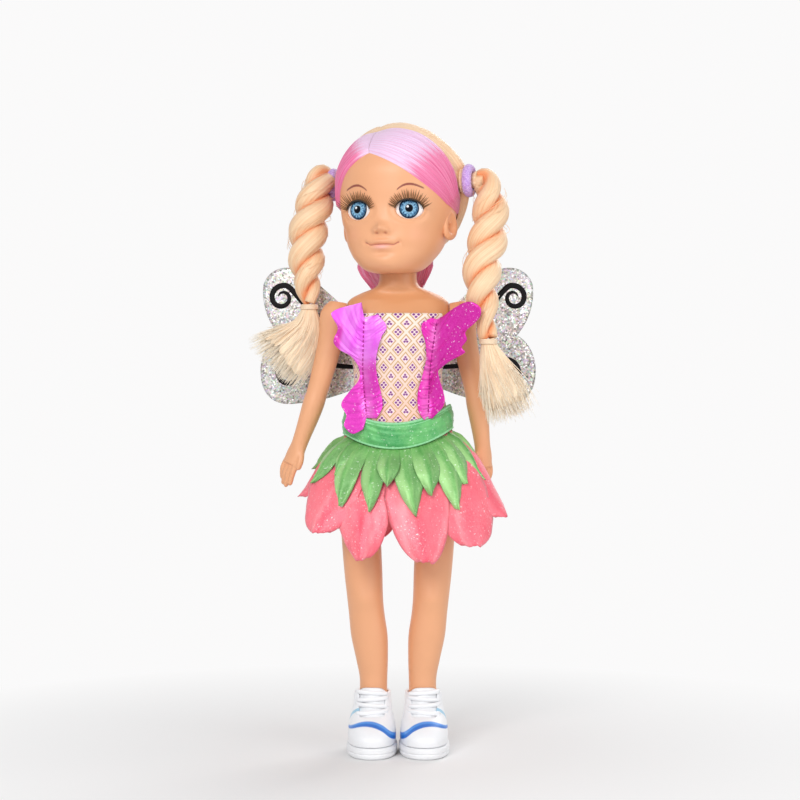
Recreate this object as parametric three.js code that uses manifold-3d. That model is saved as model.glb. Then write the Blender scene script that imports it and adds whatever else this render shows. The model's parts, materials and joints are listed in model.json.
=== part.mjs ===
// Fairy doll: a vinyl fashion doll with rooted hair in two rope twists, a printed bodice,
// butterfly appliques, a two layer petal skirt, film wings and moulded sneakers.
// Millimetres, +Z up, the doll stands on its soles and faces -Y; its own left is +X.
import * as THREE from "three";
import { mergeVertices } from "three/addons/utils/BufferGeometryUtils.js";
import Module from "manifold-3d";

// Fits
const TOUCH_GAP = 0.3; // between pieces that bear on each other
const SOCKET_GAP = 0.4; // round the plugs of the joints
const SLEEVE_GAP = 0.5; // between the body and what it wears
const FAR = 400; // beyond any piece, for cuts that pass right through

// Heights that stack from the floor to the crown
const HIP_HEIGHT = 186; // floor to hip axis
const TRUNK_LENGTH = 104; // hip axis to shoulder axis
const NECK_RISE = 34; // shoulder axis to the seat of the head
const CROWN_RISE = 91; // seat of the head to the top of the vinyl skull
const CHIN_DROP = 6.3; // chin below the seat of the head
const SHOULDER_Z = HIP_HEIGHT + TRUNK_LENGTH;
const SEAT_Z = SHOULDER_Z + NECK_RISE;

// Trunk
const TRUNK_WALL = 2.4;
const SHOULDER_PLANE = 34; // half distance between the flats the arms turn on
const BUST_HALF = 32;
const WAIST_HALF = 27.6;
const HIP_HALF = 32.6;
const NECK_HALF = 12.8;
const PELVIS_HALF = 11; // half distance between the flats the legs turn on
const THIGH_SWING = 17; // largest reach of a thigh from the hip axis
const HIP_CLEAR = 0.8;
const HIP_CUT = HIP_HEIGHT + THIGH_SWING + HIP_CLEAR; // lower edge of the trunk over the legs

// Joints
const ARM_PLUG_R = 5;
const ARM_FLANGE_R = 6.4;
const LEG_PLUG_R = 5;
const LEG_FLANGE_R = 7;
const FLANGE_THICK = 2.2;
const NECK_PLUG_R = 7.4;
const NECK_FLANGE_R = 10.6;
const NECK_PLATE = 2.6; // thickness of the neck top and of the head floor

// Head
const HEAD_TURN = -16; // degrees, towards the doll's right
const HEAD_HALF = 39.5;
const HEAD_WALL = 3;
const NOSE_LENGTH = 5.8;
const NOSE_RISE = 21.2; // above the seat of the head
const LIPS_RISE = 11;
const CHEEK_X = 20;
const CHEEK_RISE = 17;
const EYE_HALF_SPACING = 15.5; // middles of the eyeballs
const EYE_RISE = 34;
const EYE_HALF_WIDE = 11.6;
const EYE_HALF_TALL = 8.8;
const EYE_HALF_DEEP = 7;
const EYE_Y = -28.4; // middle of the eyeball from the neck axis
const EYE_TOE_OUT = 17; // degrees
const LID_HALF_WIDE = 8.7;
const LID_HALF_TALL = 6.1;
const IRIS_R = 6.5;
const IRIS_THICK = 1.5;
const LASH_LENGTH = 7;
const LASH_COUNT = 11;
const LASH_R = 0.42;
const LASH_AHEAD = 8.0; // of the lash strip from the middle of the eyeball
const EAR_HALF_TALL = 10.8;
const EAR_HALF_DEEP = 9;
const EAR_THICK = 3;
const EAR_RISE = 26.5;
const EAR_X = HEAD_HALF - 3;
const EAR_Y = -3;
const EAR_TURN = 15; // degrees each ear stands out from the side of the head
const EAR_LEAN = 12;

// Hair
const HAIR_THICK = 3.4;
const FRINGE_THICK = 3.6;
const BLONDE_Y = 3; // front of the blonde hair beside the ties, from the neck axis
const BLONDE_LEAN = 25; // degrees its front leans forward to the crown
const PARTING_X = -10;
const HAIRLINE_RISE = 72; // of the hairline above the seat of the head, on the forehead
const HAIRLINE_Y = -33;
const TEMPLE_RISE = 37;
const TEMPLE_Y = 2;
const FRINGE_LOW = 33.5; // lower end of the pink hair, over the ear
const HAIRLINE_ROLL = 22; // degrees the hairline falls to each side of the parting
const NECKLINE_TILT = 58; // degrees of the lower edge from level
const NECKLINE_RISE = 29; // lower edge of the hair behind the ears
const NECKLINE_Y = 7;
const NAPE_RISE = 3; // lower edge of the hair on the back of the head
const LOCK_X = -9; // middle of the lock, to the right of the neck
const NAPE_LOCK_LOW = -15; // lower end of the pink lock behind the neck
const TIE_X = 47.4;
const TIE_Y = 7;
const TIE_RISE = 56;
const TIE_R = 8.2; // middle of the terry ring
const TIE_THICK_R = 2.7;
const STUB_R = 4.8;
const STUB_OUT = 4.6; // of the root of a twist beyond its tie
const STRAND_R = 7.1; // each of the two strands of a twist, at its fullest
const STRAND_ORBIT = 5.4;
const TWIST_TURNS_LEFT = 2.7;
const TWIST_TURNS_RIGHT = 2.5;
const TAIL_TIE_R = 4.2;
const TAIL_TIE_THICK_R = 1.5;

// Arms
const SHOULDER_R = 11.2;
const SHOULDER_OUT = 41; // middle of the shoulder from the middle plane
const UPPER_ARM = 52;
const FOREARM = 36;
const PALM = 16;
const FINGER = 16;
const ARM_R = 8;
const ELBOW_R = 7;
const WRIST_R = 5.4;
const FINGER_R = 2;
const RIGHT_SPLAY = 14.5; // degrees
const RIGHT_HAND_SPLAY = 23;
const LEFT_SPLAY = 12;
const LEFT_HAND_SPLAY = 4;
const LEFT_LEAN = 7; // degrees the left arm hangs backward
const RIGHT_LEAN = 0;

// Legs and shoes
const THIGH_HALF = 14.1;
const THIGH_OUT = PELVIS_HALF + TOUCH_GAP + THIGH_HALF; // middle of the thigh, at the hip
const KNEE_HEIGHT = 101;
const KNEE_OUT = 22;
const KNEE_HALF = 12;
const CALF_HEIGHT = 76;
const CALF_HALF = 12.2;
const ANKLE_HEIGHT = 47;
const ANKLE_OUT = 16.4;
const ANKLE_HALF = 9.2;
const SHOE_OUT = 17.3;
const SHOE_HALF = 15.8;
const SHOE_TOE = 43; // toe in front of the ankle axis
const SHOE_HEEL = 20;
const SHOE_COLLAR = 39;
const SHOE_ROOM = 0.8; // round the foot
const SOLE_THICK = 7.4;
const SOLE_LIP = 1;
const TONGUE_HALF = 8.6;
const TONGUE_TOP = 42.6;
const TONGUE_LOW = 25;
const TONGUE_THICK = 1.6;
const LACE_R = 1.3;
const LACE_COUNT = 4;

// Dress
const CLOTH = 1.2;
const BODICE_GAP = 0.8; // between the trunk and the bodice
const BODICE_RISE = 1; // of the neckline above the shoulder axis
const BODICE_TUCK = 6; // of the bodice behind the waistband
const ARMHOLE_R = 16;
const BAND_CLEAR = 0.7; // of the waistband above the trunk's lower edge
const BAND_HEIGHT = 15.5;
const BODICE_TOP = SHOULDER_Z + BODICE_RISE;
const BAND_LOW = HIP_CUT + BAND_CLEAR;
const BAND_TOP = BAND_LOW + BAND_HEIGHT;
const BODICE_LOW = BAND_TOP - BODICE_TUCK;
const CLOSURE_HALF = 6;
const FILM = 0.8;
const SEAM_TOP = BODICE_TOP - 3; // butterfly seams, from the neckline to the waistband
const SEAM_LOW = BAND_TOP + 4;
const SEAM_OUT = 23;
const LEAF_COUNT = 12;
const LEAF_DROP = 42; // of the front leaves below the waistband
const LEAF_SIDE_DROP = 20;
const LEAF_CUT = 0.55; // share of the drop cut between two leaves
const PETAL_COUNT = 10;
const PETAL_DROP = 73;
const PETAL_SIDE_DROP = 35;
const PETAL_CUT = 0.4;
const FRONT_FLARE = 0.42; // outward for each millimetre of drop
const SIDE_FLARE = 0.98;
const LAYER_GAP = 3.4; // between the petals and the leaves
const HAND_ROOM = 0.84; // share of the flare pressed out where the hands hang
const HAND_ROOM_AT = 112; // degrees round from the front
const HAND_ROOM_WIDE = 17;

// Wings
const WING_FILM = 1;
const WING_SPAN = 95;
const WING_RISE = 35; // of the upper lobes above the shoulder axis
const WING_DROP = 59; // of the lower lobes below it
const WING_HIGH = SHOULDER_Z + WING_RISE;
const WING_LOW = SHOULDER_Z - WING_DROP;
const WING_NOTCH = SHOULDER_Z - 12;
const WING_SWEEP = 6; // degrees back from flat
const WING_BAND_HALF = 5;
const WING_BAND_THICK = 1.4;

const wasm = await Module();
wasm.setup();

const rad = THREE.MathUtils.degToRad;
const vec = (x, y, z) => new THREE.Vector3(x, y, z);

// Solids

// A closed geometry as a solid that can be joined and cut.
function solid(geometry) {
  const bare = new THREE.BufferGeometry();
  bare.setAttribute("position", geometry.getAttribute("position"));
  if (geometry.index) bare.setIndex(geometry.index);
  const merged = mergeVertices(bare, 1e-4);
  const shape = new wasm.Mesh({
    numProp: 3,
    vertProperties: merged.attributes.position.array,
    triVerts: new Uint32Array(merged.index.array),
  });
  return new wasm.Manifold(shape);
}

// A solid back as a geometry.
function geometryOf(shape) {
  const mesh = shape.getMesh();
  const points = new Float32Array(mesh.numVert * 3);
  for (let i = 0; i < mesh.numVert; i++) {
    const start = i * mesh.numProp;
    points.set(mesh.vertProperties.subarray(start, start + 3), i * 3);
  }
  const geometry = new THREE.BufferGeometry();
  geometry.setAttribute("position", new THREE.BufferAttribute(points, 3));
  geometry.setIndex(new THREE.BufferAttribute(mesh.triVerts, 1));
  geometry.computeVertexNormals();
  return geometry;
}

// A closed surface through rings of equal count, each end closed on its middle.
function skin(rings) {
  const sides = rings[0].length;
  const points = [];
  const faces = [];
  rings.forEach((ring) => ring.forEach((p) => points.push(p.x, p.y, p.z)));
  const middle = (ring) => {
    const sum = ring.reduce((a, p) => a.add(p), vec(0, 0, 0));
    return sum.divideScalar(sides);
  };
  const low = middle(rings[0]);
  const high = middle(rings[rings.length - 1]);
  points.push(low.x, low.y, low.z, high.x, high.y, high.z);
  const lowAt = rings.length * sides;
  const last = (rings.length - 1) * sides;
  for (let j = 0; j < sides; j++) {
    const k = (j + 1) % sides;
    for (let i = 0; i < rings.length - 1; i++) {
      const a = i * sides;
      const b = a + sides;
      faces.push(a + j, a + k, b + k, a + j, b + k, b + j);
    }
    faces.push(lowAt, k, j, lowAt + 1, last + j, last + k);
  }
  const geometry = new THREE.BufferGeometry();
  geometry.setAttribute("position", new THREE.Float32BufferAttribute(points, 3));
  geometry.setIndex(faces);
  return geometry;
}

// A closed surface through section loops that run round and meet again.
function hoop(loops) {
  const size = loops[0].length;
  const points = loops.flat().flatMap((p) => [p.x, p.y, p.z]);
  const faces = [];
  loops.forEach((loop, i) => {
    const next = (i + 1) % loops.length;
    for (let j = 0; j < size; j++) {
      const k = (j + 1) % size;
      const [a, b] = [i * size, next * size];
      faces.push(a + j, b + j, b + k, a + j, b + k, a + k);
    }
  });
  const geometry = new THREE.BufferGeometry();
  geometry.setAttribute("position", new THREE.Float32BufferAttribute(points, 3));
  geometry.setIndex(faces);
  return geometry;
}

// A closed sheet from a grid of its outer face and the same grid of its inner face.
function sheet(outer, inner) {
  const rows = outer.length;
  const cols = outer[0].length;
  const points = [];
  const faces = [];
  [outer, inner].forEach((grid) =>
    grid.forEach((row) => row.forEach((p) => points.push(p.x, p.y, p.z))),
  );
  const at = (side, i, j) => side * rows * cols + i * cols + j;
  for (let i = 0; i < rows - 1; i++) {
    for (let j = 0; j < cols - 1; j++) {
      const [a, b, c, d] = [at(0, i, j), at(0, i, j + 1), at(0, i + 1, j + 1), at(0, i + 1, j)];
      faces.push(a, b, c, a, c, d);
      const [e, f, g, h] = [at(1, i, j), at(1, i, j + 1), at(1, i + 1, j + 1), at(1, i + 1, j)];
      faces.push(e, g, f, e, h, g);
    }
  }
  const rim = [];
  for (let j = 0; j < cols - 1; j++) rim.push([0, j]);
  for (let i = 0; i < rows - 1; i++) rim.push([i, cols - 1]);
  for (let j = cols - 1; j > 0; j--) rim.push([rows - 1, j]);
  for (let i = rows - 1; i > 0; i--) rim.push([i, 0]);
  rim.forEach(([i, j], n) => {
    const [k, l] = rim[(n + 1) % rim.length];
    const [a, b, c, d] = [at(0, i, j), at(0, k, l), at(1, k, l), at(1, i, j)];
    faces.push(a, c, b, a, d, c);
  });
  const geometry = new THREE.BufferGeometry();
  geometry.setAttribute("position", new THREE.Float32BufferAttribute(points, 3));
  geometry.setIndex(faces);
  return geometry;
}

// A solid made sure to face out.
function facing(geometry) {
  const shape = solid(geometry);
  if (shape.volume() > 0) return shape;
  const turned = geometry.index ? geometry.toNonIndexed() : geometry.clone();
  const points = turned.getAttribute("position");
  for (let i = 0; i < points.count; i += 3) {
    const second = vec(0, 0, 0).fromBufferAttribute(points, i + 1);
    const third = vec(0, 0, 0).fromBufferAttribute(points, i + 2);
    points.setXYZ(i + 1, third.x, third.y, third.z);
    points.setXYZ(i + 2, second.x, second.y, second.z);
  }
  return solid(turned);
}

// A block between two corners.
function block(low, high) {
  const size = high.clone().sub(low);
  const geometry = new THREE.BoxGeometry(size.x, size.y, size.z);
  const middle = low.clone().add(high).multiplyScalar(0.5);
  return solid(geometry.translate(middle.x, middle.y, middle.z));
}

// A round bar along X between two ends.
function barX(radius, x0, x1, y, z, sides = 16) {
  const geometry = new THREE.CylinderGeometry(radius, radius, Math.abs(x1 - x0), sides);
  geometry.rotateZ(Math.PI / 2).translate((x0 + x1) / 2, y, z);
  return solid(geometry);
}

// A round bar along Z between two heights.
function barZ(radius, z0, z1, x, y, sides = 20) {
  const geometry = new THREE.CylinderGeometry(radius, radius, Math.abs(z1 - z0), sides);
  geometry.rotateX(Math.PI / 2).translate(x, y, (z0 + z1) / 2);
  return solid(geometry);
}

// Smooth value of every field of the sections at a level, by cubics through the sections.
function sectionAt(sections, level) {
  const last = sections.length - 1;
  let i = 0;
  while (i < last - 1 && level > sections[i + 1].z) i++;
  const [a, b] = [sections[i], sections[i + 1]];
  const before = sections[Math.max(i - 1, 0)];
  const after = sections[Math.min(i + 2, last)];
  const span = b.z - a.z;
  const t = Math.min(Math.max((level - a.z) / span, 0), 1);
  const made = { z: level };
  Object.keys(a).forEach((key) => {
    if (key === "z") return;
    const m0 = ((b[key] - before[key]) / (b.z - before.z)) * span;
    const m1 = ((after[key] - a[key]) / (after.z - a.z)) * span;
    const t2 = t * t;
    const t3 = t2 * t;
    const start = (2 * t3 - 3 * t2 + 1) * a[key] + (t3 - 2 * t2 + t) * m0;
    made[key] = start + (3 * t2 - 2 * t3) * b[key] + (t3 - t2) * m1;
  });
  return made;
}

const power = (v, n) => Math.sign(v) * Math.abs(v) ** n;

// A closed ring of one level section: half width, and reach to the front and to the back.
function ring(section, sides, grow = 0, round = 2, crowd = 0) {
  const { z, x, y, wide, front, back } = section;
  const points = [];
  for (let i = 0; i < sides; i++) {
    const turn = (2 * Math.PI * i) / sides - crowd * Math.sin((2 * Math.PI * i) / sides);
    const across = power(Math.sin(turn), 2 / round);
    const ahead = power(Math.cos(turn), 2 / round);
    const reach = (ahead > 0 ? front : back) + grow;
    points.push(vec(x + (wide + grow) * across, y - reach * ahead, z));
  }
  return points;
}

// A body of level sections between two heights.
function stack(sections, low, high, options = {}) {
  const { levels = 12, sides = 24, grow = 0, round = 2 } = options;
  const rings = [];
  for (let i = 0; i <= levels; i++) {
    const section = sectionAt(sections, low + ((high - low) * i) / levels);
    rings.push(ring(section, sides, grow, round));
  }
  return solid(skin(rings));
}

// A tube along a curve; radii are given as [across, through] at a share of its length.
function tube(curve, radiiAt, steps, sides) {
  const frames = curve.computeFrenetFrames(steps, false);
  const rings = [];
  for (let i = 0; i <= steps; i++) {
    const middle = curve.getPointAt(i / steps);
    const [across, through] = radiiAt(i / steps);
    const points = [];
    for (let j = 0; j < sides; j++) {
      const turn = (2 * Math.PI * j) / sides;
      const p = middle.clone();
      p.addScaledVector(frames.normals[i], across * Math.cos(turn));
      p.addScaledVector(frames.binormals[i], through * Math.sin(turn));
      points.push(p);
    }
    rings.push(points);
  }
  return solid(skin(rings));
}

// A tapered finger with a round tip.
function finger(from, to, r0, r1, sides = 8) {
  const along = to.clone().sub(from);
  const length = along.length();
  along.normalize();
  const profile = [
    new THREE.Vector2(0, -r0 * 0.8),
    new THREE.Vector2(r0 * 0.75, -r0 * 0.5),
    new THREE.Vector2(r0, 0),
    new THREE.Vector2(r1, length - r1),
    new THREE.Vector2(r1 * 0.7, length - r1 * 0.3),
    new THREE.Vector2(0, length),
  ];
  const geometry = new THREE.LatheGeometry(profile, sides);
  geometry.applyQuaternion(new THREE.Quaternion().setFromUnitVectors(vec(0, 1, 0), along));
  return facing(geometry.translate(from.x, from.y, from.z));
}

// A tapered bristle.
function spike(from, to, radius) {
  const along = to.clone().sub(from);
  const geometry = new THREE.ConeGeometry(radius, along.length(), 3);
  geometry.translate(0, along.length() / 2, 0);
  const turn = new THREE.Quaternion().setFromUnitVectors(vec(0, 1, 0), along.normalize());
  geometry.applyQuaternion(turn);
  return solid(geometry.translate(from.x, from.y, from.z));
}

// Smooth value through [share, value] pairs.
function curveThrough(pairs, share) {
  const sections = pairs.map(([z, value]) => ({ z, value }));
  return sectionAt(sections, share).value;
}

// Finishes
const finish = (color, roughness, metalness = 0) =>
  new THREE.MeshStandardMaterial({ color, roughness, metalness });
const SKIN = finish(0xf0b389, 0.5);
const EYE_WHITE = finish(0xfbf6f0, 0.2);
const IRIS = finish(0x4c8fb5, 0.15);
const LASH = finish(0x5b3226, 0.7);
const BLONDE = finish(0xfbdcb4, 0.5);
const PINK_HAIR = finish(0xff8fc0, 0.5);
const TERRY = finish(0xc9a6e4, 0.9);
const ELASTIC = finish(0xf2e2cf, 0.7);
const INNER = finish(0xe9c3a6, 0.6);
const PRINT = finish(0xf7e7e4, 0.8);
const HOOK = finish(0xf5f2ee, 0.9);
const MAGENTA = finish(0xe21bc0, 0.3, 0.5);
const GREEN = finish(0x6fc77f, 0.5, 0.2);
const PETAL = finish(0xff7aa2, 0.5, 0.2);
const WING = finish(0xdcd8e6, 0.25, 0.7);
const SHOE = finish(0xf4f5f8, 0.4);
const RUBBER = finish(0xeceef2, 0.6);

const doll = new THREE.Group();
doll.name = "fairy_doll";
const headGroup = new THREE.Group();
headGroup.position.set(0, 0, SEAT_Z);
headGroup.rotation.z = rad(HEAD_TURN);
doll.add(headGroup);

// A named piece of the doll.
function piece(name, shape, material, group = doll) {
  const mesh = new THREE.Mesh(geometryOf(shape), material);
  mesh.name = name;
  group.add(mesh);
}

// Trunk sections
const TRUNK = [
  { z: HIP_HEIGHT + 4, x: 0, y: 1, wide: HIP_HALF + 0.6, front: 22, back: 24 },
  { z: HIP_HEIGHT + 20, x: 0, y: 1, wide: HIP_HALF + 0.6, front: 23, back: 24 },
  { z: HIP_HEIGHT + 0.34 * TRUNK_LENGTH, x: 0, y: 1, wide: HIP_HALF - 0.8, front: 23, back: 22 },
  { z: HIP_HEIGHT + 0.48 * TRUNK_LENGTH, x: 0, y: 0.5, wide: WAIST_HALF + 1.6, front: 21, back: 20 },
  { z: HIP_HEIGHT + 0.61 * TRUNK_LENGTH, x: 0, y: 0, wide: WAIST_HALF, front: 20, back: 19.5 },
  { z: HIP_HEIGHT + 0.74 * TRUNK_LENGTH, x: 0, y: 0, wide: BUST_HALF - 2.6, front: 21.5, back: 20 },
  { z: HIP_HEIGHT + 0.87 * TRUNK_LENGTH, x: 0, y: 0, wide: BUST_HALF, front: 22.5, back: 21 },
  { z: SHOULDER_Z - 1, x: 0, y: 0, wide: SHOULDER_PLANE + 1.5, front: 20, back: 20 },
  { z: SHOULDER_Z + 7, x: 0, y: 0, wide: SHOULDER_PLANE + 0.6, front: 16.5, back: 18 },
  { z: SHOULDER_Z + 11.5, x: 0, y: 0.5, wide: SHOULDER_PLANE - 2.4, front: 14, back: 15.6 },
  { z: SHOULDER_Z + 15.5, x: 0, y: 1, wide: NECK_HALF + 9.6, front: 12.8, back: 14 },
  { z: SHOULDER_Z + 18.5, x: 0, y: 0.6, wide: NECK_HALF + 2, front: 13.4, back: 13.6 },
  { z: SHOULDER_Z + 23, x: 0, y: 0, wide: NECK_HALF, front: NECK_HALF, back: NECK_HALF },
  { z: SEAT_Z, x: 0, y: 0, wide: NECK_HALF, front: NECK_HALF, back: NECK_HALF },
];
const PELVIS = [
  { z: HIP_HEIGHT - 21, x: 0, y: 0, wide: PELVIS_HALF - 4, front: 6, back: 6 },
  { z: HIP_HEIGHT - 16, x: 0, y: 0, wide: PELVIS_HALF - 1, front: 12, back: 13 },
  { z: HIP_HEIGHT - 6, x: 0, y: 0, wide: PELVIS_HALF, front: 15, back: 16 },
  { z: HIP_CUT + 8, x: 0, y: 0, wide: PELVIS_HALF, front: 15, back: 16 },
];
const TRUNK_ROUND = 2.25;

// A body over the trunk sections, grown all round.
const trunkBody = (grow, low, high, levels = 9, sides = 22) =>
  stack(TRUNK, low, high, { levels, sides, grow, round: TRUNK_ROUND });

// Front face of the grown trunk at a place across it.
function trunkFront(x, z, grow) {
  const s = sectionAt(TRUNK, z);
  const share = Math.min(Math.abs(x) / (s.wide + grow), 0.97);
  return s.y - (s.front + grow) * (1 - share ** TRUNK_ROUND) ** (1 / TRUNK_ROUND);
}

// Torso: two half shells that trap the plugs of the limbs between them.
const NECK_TOP = SEAT_Z - TOUCH_GAP;
let torso = trunkBody(0, HIP_CUT, NECK_TOP, 19, 16);
torso = torso.add(stack(PELVIS, HIP_HEIGHT - 21, HIP_CUT + 8, { levels: 6, sides: 14, round: 3 }));
const hollow = trunkBody(-TRUNK_WALL, HIP_CUT + TRUNK_WALL, NECK_TOP - NECK_PLATE, 14, 14);
const roomHalf = SHOULDER_PLANE - TRUNK_WALL;
const room = block(vec(-roomHalf, -60, 0), vec(roomHalf, 60, SEAT_Z));
torso = torso.subtract(hollow.intersect(room));
const pelvisHalf = PELVIS_HALF - TRUNK_WALL;
const pelvisTop = HIP_CUT + TRUNK_WALL + 4;
const pelvisRoom = block(vec(-pelvisHalf, -11, HIP_HEIGHT - 12), vec(pelvisHalf, 12, pelvisTop));
torso = torso.subtract(pelvisRoom);
torso = torso.subtract(barZ(NECK_PLUG_R + SOCKET_GAP, NECK_TOP - 8, NECK_TOP + 5, 0, 0));
for (const side of [-1, 1]) {
  const far = side * 60;
  torso = torso.subtract(barX(ARM_PLUG_R + SOCKET_GAP, side * 24, far, 0, SHOULDER_Z));
  torso = torso.subtract(barX(LEG_PLUG_R + SOCKET_GAP, side * 4, far, 0, HIP_HEIGHT));
  const outside = [side * SHOULDER_PLANE, far].sort((a, b) => a - b);
  torso = torso.subtract(block(vec(outside[0], -60, HIP_CUT), vec(outside[1], 60, SEAT_Z + 6)));
}
const frontHalf = block(vec(-FAR, -FAR, 0), vec(FAR, -TOUCH_GAP / 2, 2 * FAR));
const backHalf = block(vec(-FAR, TOUCH_GAP / 2, 0), vec(FAR, FAR, 2 * FAR));
piece("torso_front", torso.intersect(frontHalf), SKIN);
piece("torso_back", torso.intersect(backHalf), SKIN);

// Neck plug: a double mushroom that holds the head floor to the neck top.
const floorTop = NECK_PLATE + TOUCH_GAP;
const neckProfile = [
  [0, -NECK_PLATE - TOUCH_GAP - FLANGE_THICK - 0.6],
  [NECK_FLANGE_R - 2, -NECK_PLATE - TOUCH_GAP - FLANGE_THICK - 0.6],
  [NECK_FLANGE_R - 1.4, -NECK_PLATE - 2 * TOUCH_GAP],
  [NECK_PLUG_R, -NECK_PLATE - 2 * TOUCH_GAP],
  [NECK_PLUG_R, floorTop],
  [NECK_FLANGE_R, floorTop],
  [NECK_FLANGE_R - 1, floorTop + FLANGE_THICK],
  [0, floorTop + FLANGE_THICK + 1.5],
].map(([r, z]) => new THREE.Vector2(r, z));
const neckLathe = new THREE.LatheGeometry(neckProfile, 18).rotateX(Math.PI / 2);
piece("neck_plug", facing(neckLathe.translate(0, 0, SEAT_Z)), INNER);

// Head sections, from the seat of the head
const HEAD = [
  { z: -CHIN_DROP, x: 0, y: -14, wide: 11, front: 17, back: 14 },
  { z: -4.6, x: 0, y: -12, wide: 17, front: 22, back: 20 },
  { z: -1.6, x: 0, y: -10, wide: 21.3, front: 26.5, back: 25 },
  { z: 3.5, x: 0, y: -9, wide: 26, front: 29, back: 29 },
  { z: 9, x: 0, y: -6, wide: HEAD_HALF - 9.9, front: 32, back: 32 },
  { z: 14, x: 0, y: -3.5, wide: HEAD_HALF - 7.7, front: 35.3, back: 33 },
  { z: 20, x: 0, y: 0, wide: HEAD_HALF - 6, front: 38.8, back: 35 },
  { z: 28, x: 0, y: 3, wide: HEAD_HALF - 3, front: 42.3, back: 37 },
  { z: 38, x: 0, y: 5, wide: HEAD_HALF - 1, front: 44, back: 38 },
  { z: 50, x: 0, y: 5, wide: HEAD_HALF, front: 44.5, back: 39 },
  { z: 62, x: 0, y: 4, wide: HEAD_HALF - 1.5, front: 43, back: 39 },
  { z: 74, x: 0, y: 3, wide: HEAD_HALF - 7.5, front: 36.5, back: 34 },
  { z: 83, x: 0, y: 2, wide: HEAD_HALF - 16.5, front: 26, back: 26 },
  { z: 88.5, x: 0, y: 2, wide: HEAD_HALF - 27, front: 14, back: 14 },
  { z: CROWN_RISE, x: 0, y: 2, wide: 4, front: 4, back: 4 },
];
const HEAD_ROUND = 2.25;

// How far the features of the face stand out of the head at a place on it.
function faceRelief(x, z) {
  const bump = (cx, cz, sx, sz) => Math.exp(-(((x - cx) / sx) ** 2) - ((z - cz) / sz) ** 2);
  const both = (cx, cz, sx, sz) => bump(cx, cz, sx, sz) + bump(-cx, cz, sx, sz);
  const nose = NOSE_LENGTH * bump(0, NOSE_RISE, 4.2, z > NOSE_RISE ? 7 : 3.4);
  const lips = 2 * bump(0, LIPS_RISE, 8, 3.4);
  const chin = 1.5 * bump(0, -1, 9, 5);
  const cheeks = 1.4 * both(CHEEK_X, CHEEK_RISE, 10, 9);
  const brow = 2 * both(EYE_HALF_SPACING + EYE_HALF_WIDE, EYE_RISE - 2, 7, 10);
  return nose + lips + chin + cheeks + brow - 0.8 * both(EYE_HALF_SPACING, EYE_RISE, 9, 8);
}

// The head, grown all round, with or without the face.
function headBody(grow, face, levels, sides, low = -CHIN_DROP) {
  const rings = [];
  for (let i = 0; i <= levels; i++) {
    const share = i / levels;
    const z = low + (CROWN_RISE - low) * (share + 0.06 * Math.sin(2 * Math.PI * share));
    const points = ring(sectionAt(HEAD, z), sides, grow, HEAD_ROUND, face ? 0.45 : 0);
    points.forEach((p) => {
      if (face && p.y < -8) p.y -= faceRelief(p.x, z);
      p.z += grow * (z > 45 ? ((z - 45) / 46) ** 2 : 0);
    });
    rings.push(points);
  }
  return solid(skin(rings));
}

// Stands a shape made about the middle of an ear on its side of the head.
function placeEar(geometry, side) {
  geometry.rotateZ(rad(side * -EAR_TURN)).rotateX(rad(EAR_LEAN));
  return solid(geometry.translate(side * EAR_X, EAR_Y, EAR_RISE));
}

// An ear, as a flat rounded shell.
function earBody(side, grow) {
  const shape = new THREE.SphereGeometry(1, 10, 7);
  shape.scale(EAR_THICK + grow, EAR_HALF_DEEP + grow, EAR_HALF_TALL + grow);
  return placeEar(shape, side);
}

// The hollow in the outer face of an ear.
function earHollow(side) {
  const shape = new THREE.SphereGeometry(1, 10, 6);
  shape.scale(EAR_THICK * 0.8, EAR_HALF_DEEP * 0.56, EAR_HALF_TALL * 0.62);
  return placeEar(shape.translate(side * EAR_THICK * 1.2, EAR_HALF_DEEP * 0.16, 0.5), side);
}

// Places of an eye: turned out a little, at its height on the face.
function placeEye(geometry, side) {
  geometry.rotateZ(rad(side * EYE_TOE_OUT));
  return geometry.translate(side * EYE_HALF_SPACING, EYE_Y, EYE_RISE);
}

function eyeBall(side, grow) {
  const shape = new THREE.SphereGeometry(1, 16, 8);
  shape.rotateX(Math.PI / 2);
  shape.scale(EYE_HALF_WIDE + grow, EYE_HALF_DEEP + grow, EYE_HALF_TALL + grow);
  return solid(placeEye(shape, side));
}

// An upright oval bar through the face, for the opening of the lids and the seat of the iris.
function eyeBar(side, wide, tall, y0, y1, sides = 18) {
  const shape = new THREE.CylinderGeometry(1, 1, y1 - y0, sides);
  shape.scale(wide, 1, tall).translate(0, (y0 + y1) / 2, 0);
  return solid(placeEye(shape, side));
}

let head = headBody(0, true, 22, 32);
head = head.subtract(barZ(NECK_HALF + 0.9, -FAR, 0, 0, 0));
head = head.subtract(barZ(NECK_PLUG_R + SOCKET_GAP, -5, 12, 0, 0));
for (const side of [-1, 1]) {
  head = head.add(earBody(side, 0).subtract(earHollow(side)));
}
head = head.subtract(headBody(-HEAD_WALL, false, 10, 14, NECK_PLATE));
for (const side of [-1, 1]) {
  head = head.subtract(eyeBall(side, TOUCH_GAP));
  head = head.subtract(eyeBar(side, LID_HALF_WIDE, LID_HALF_TALL, -3 * EYE_HALF_DEEP, 0));
}
piece("head_shell", head, SKIN, headGroup);

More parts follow.
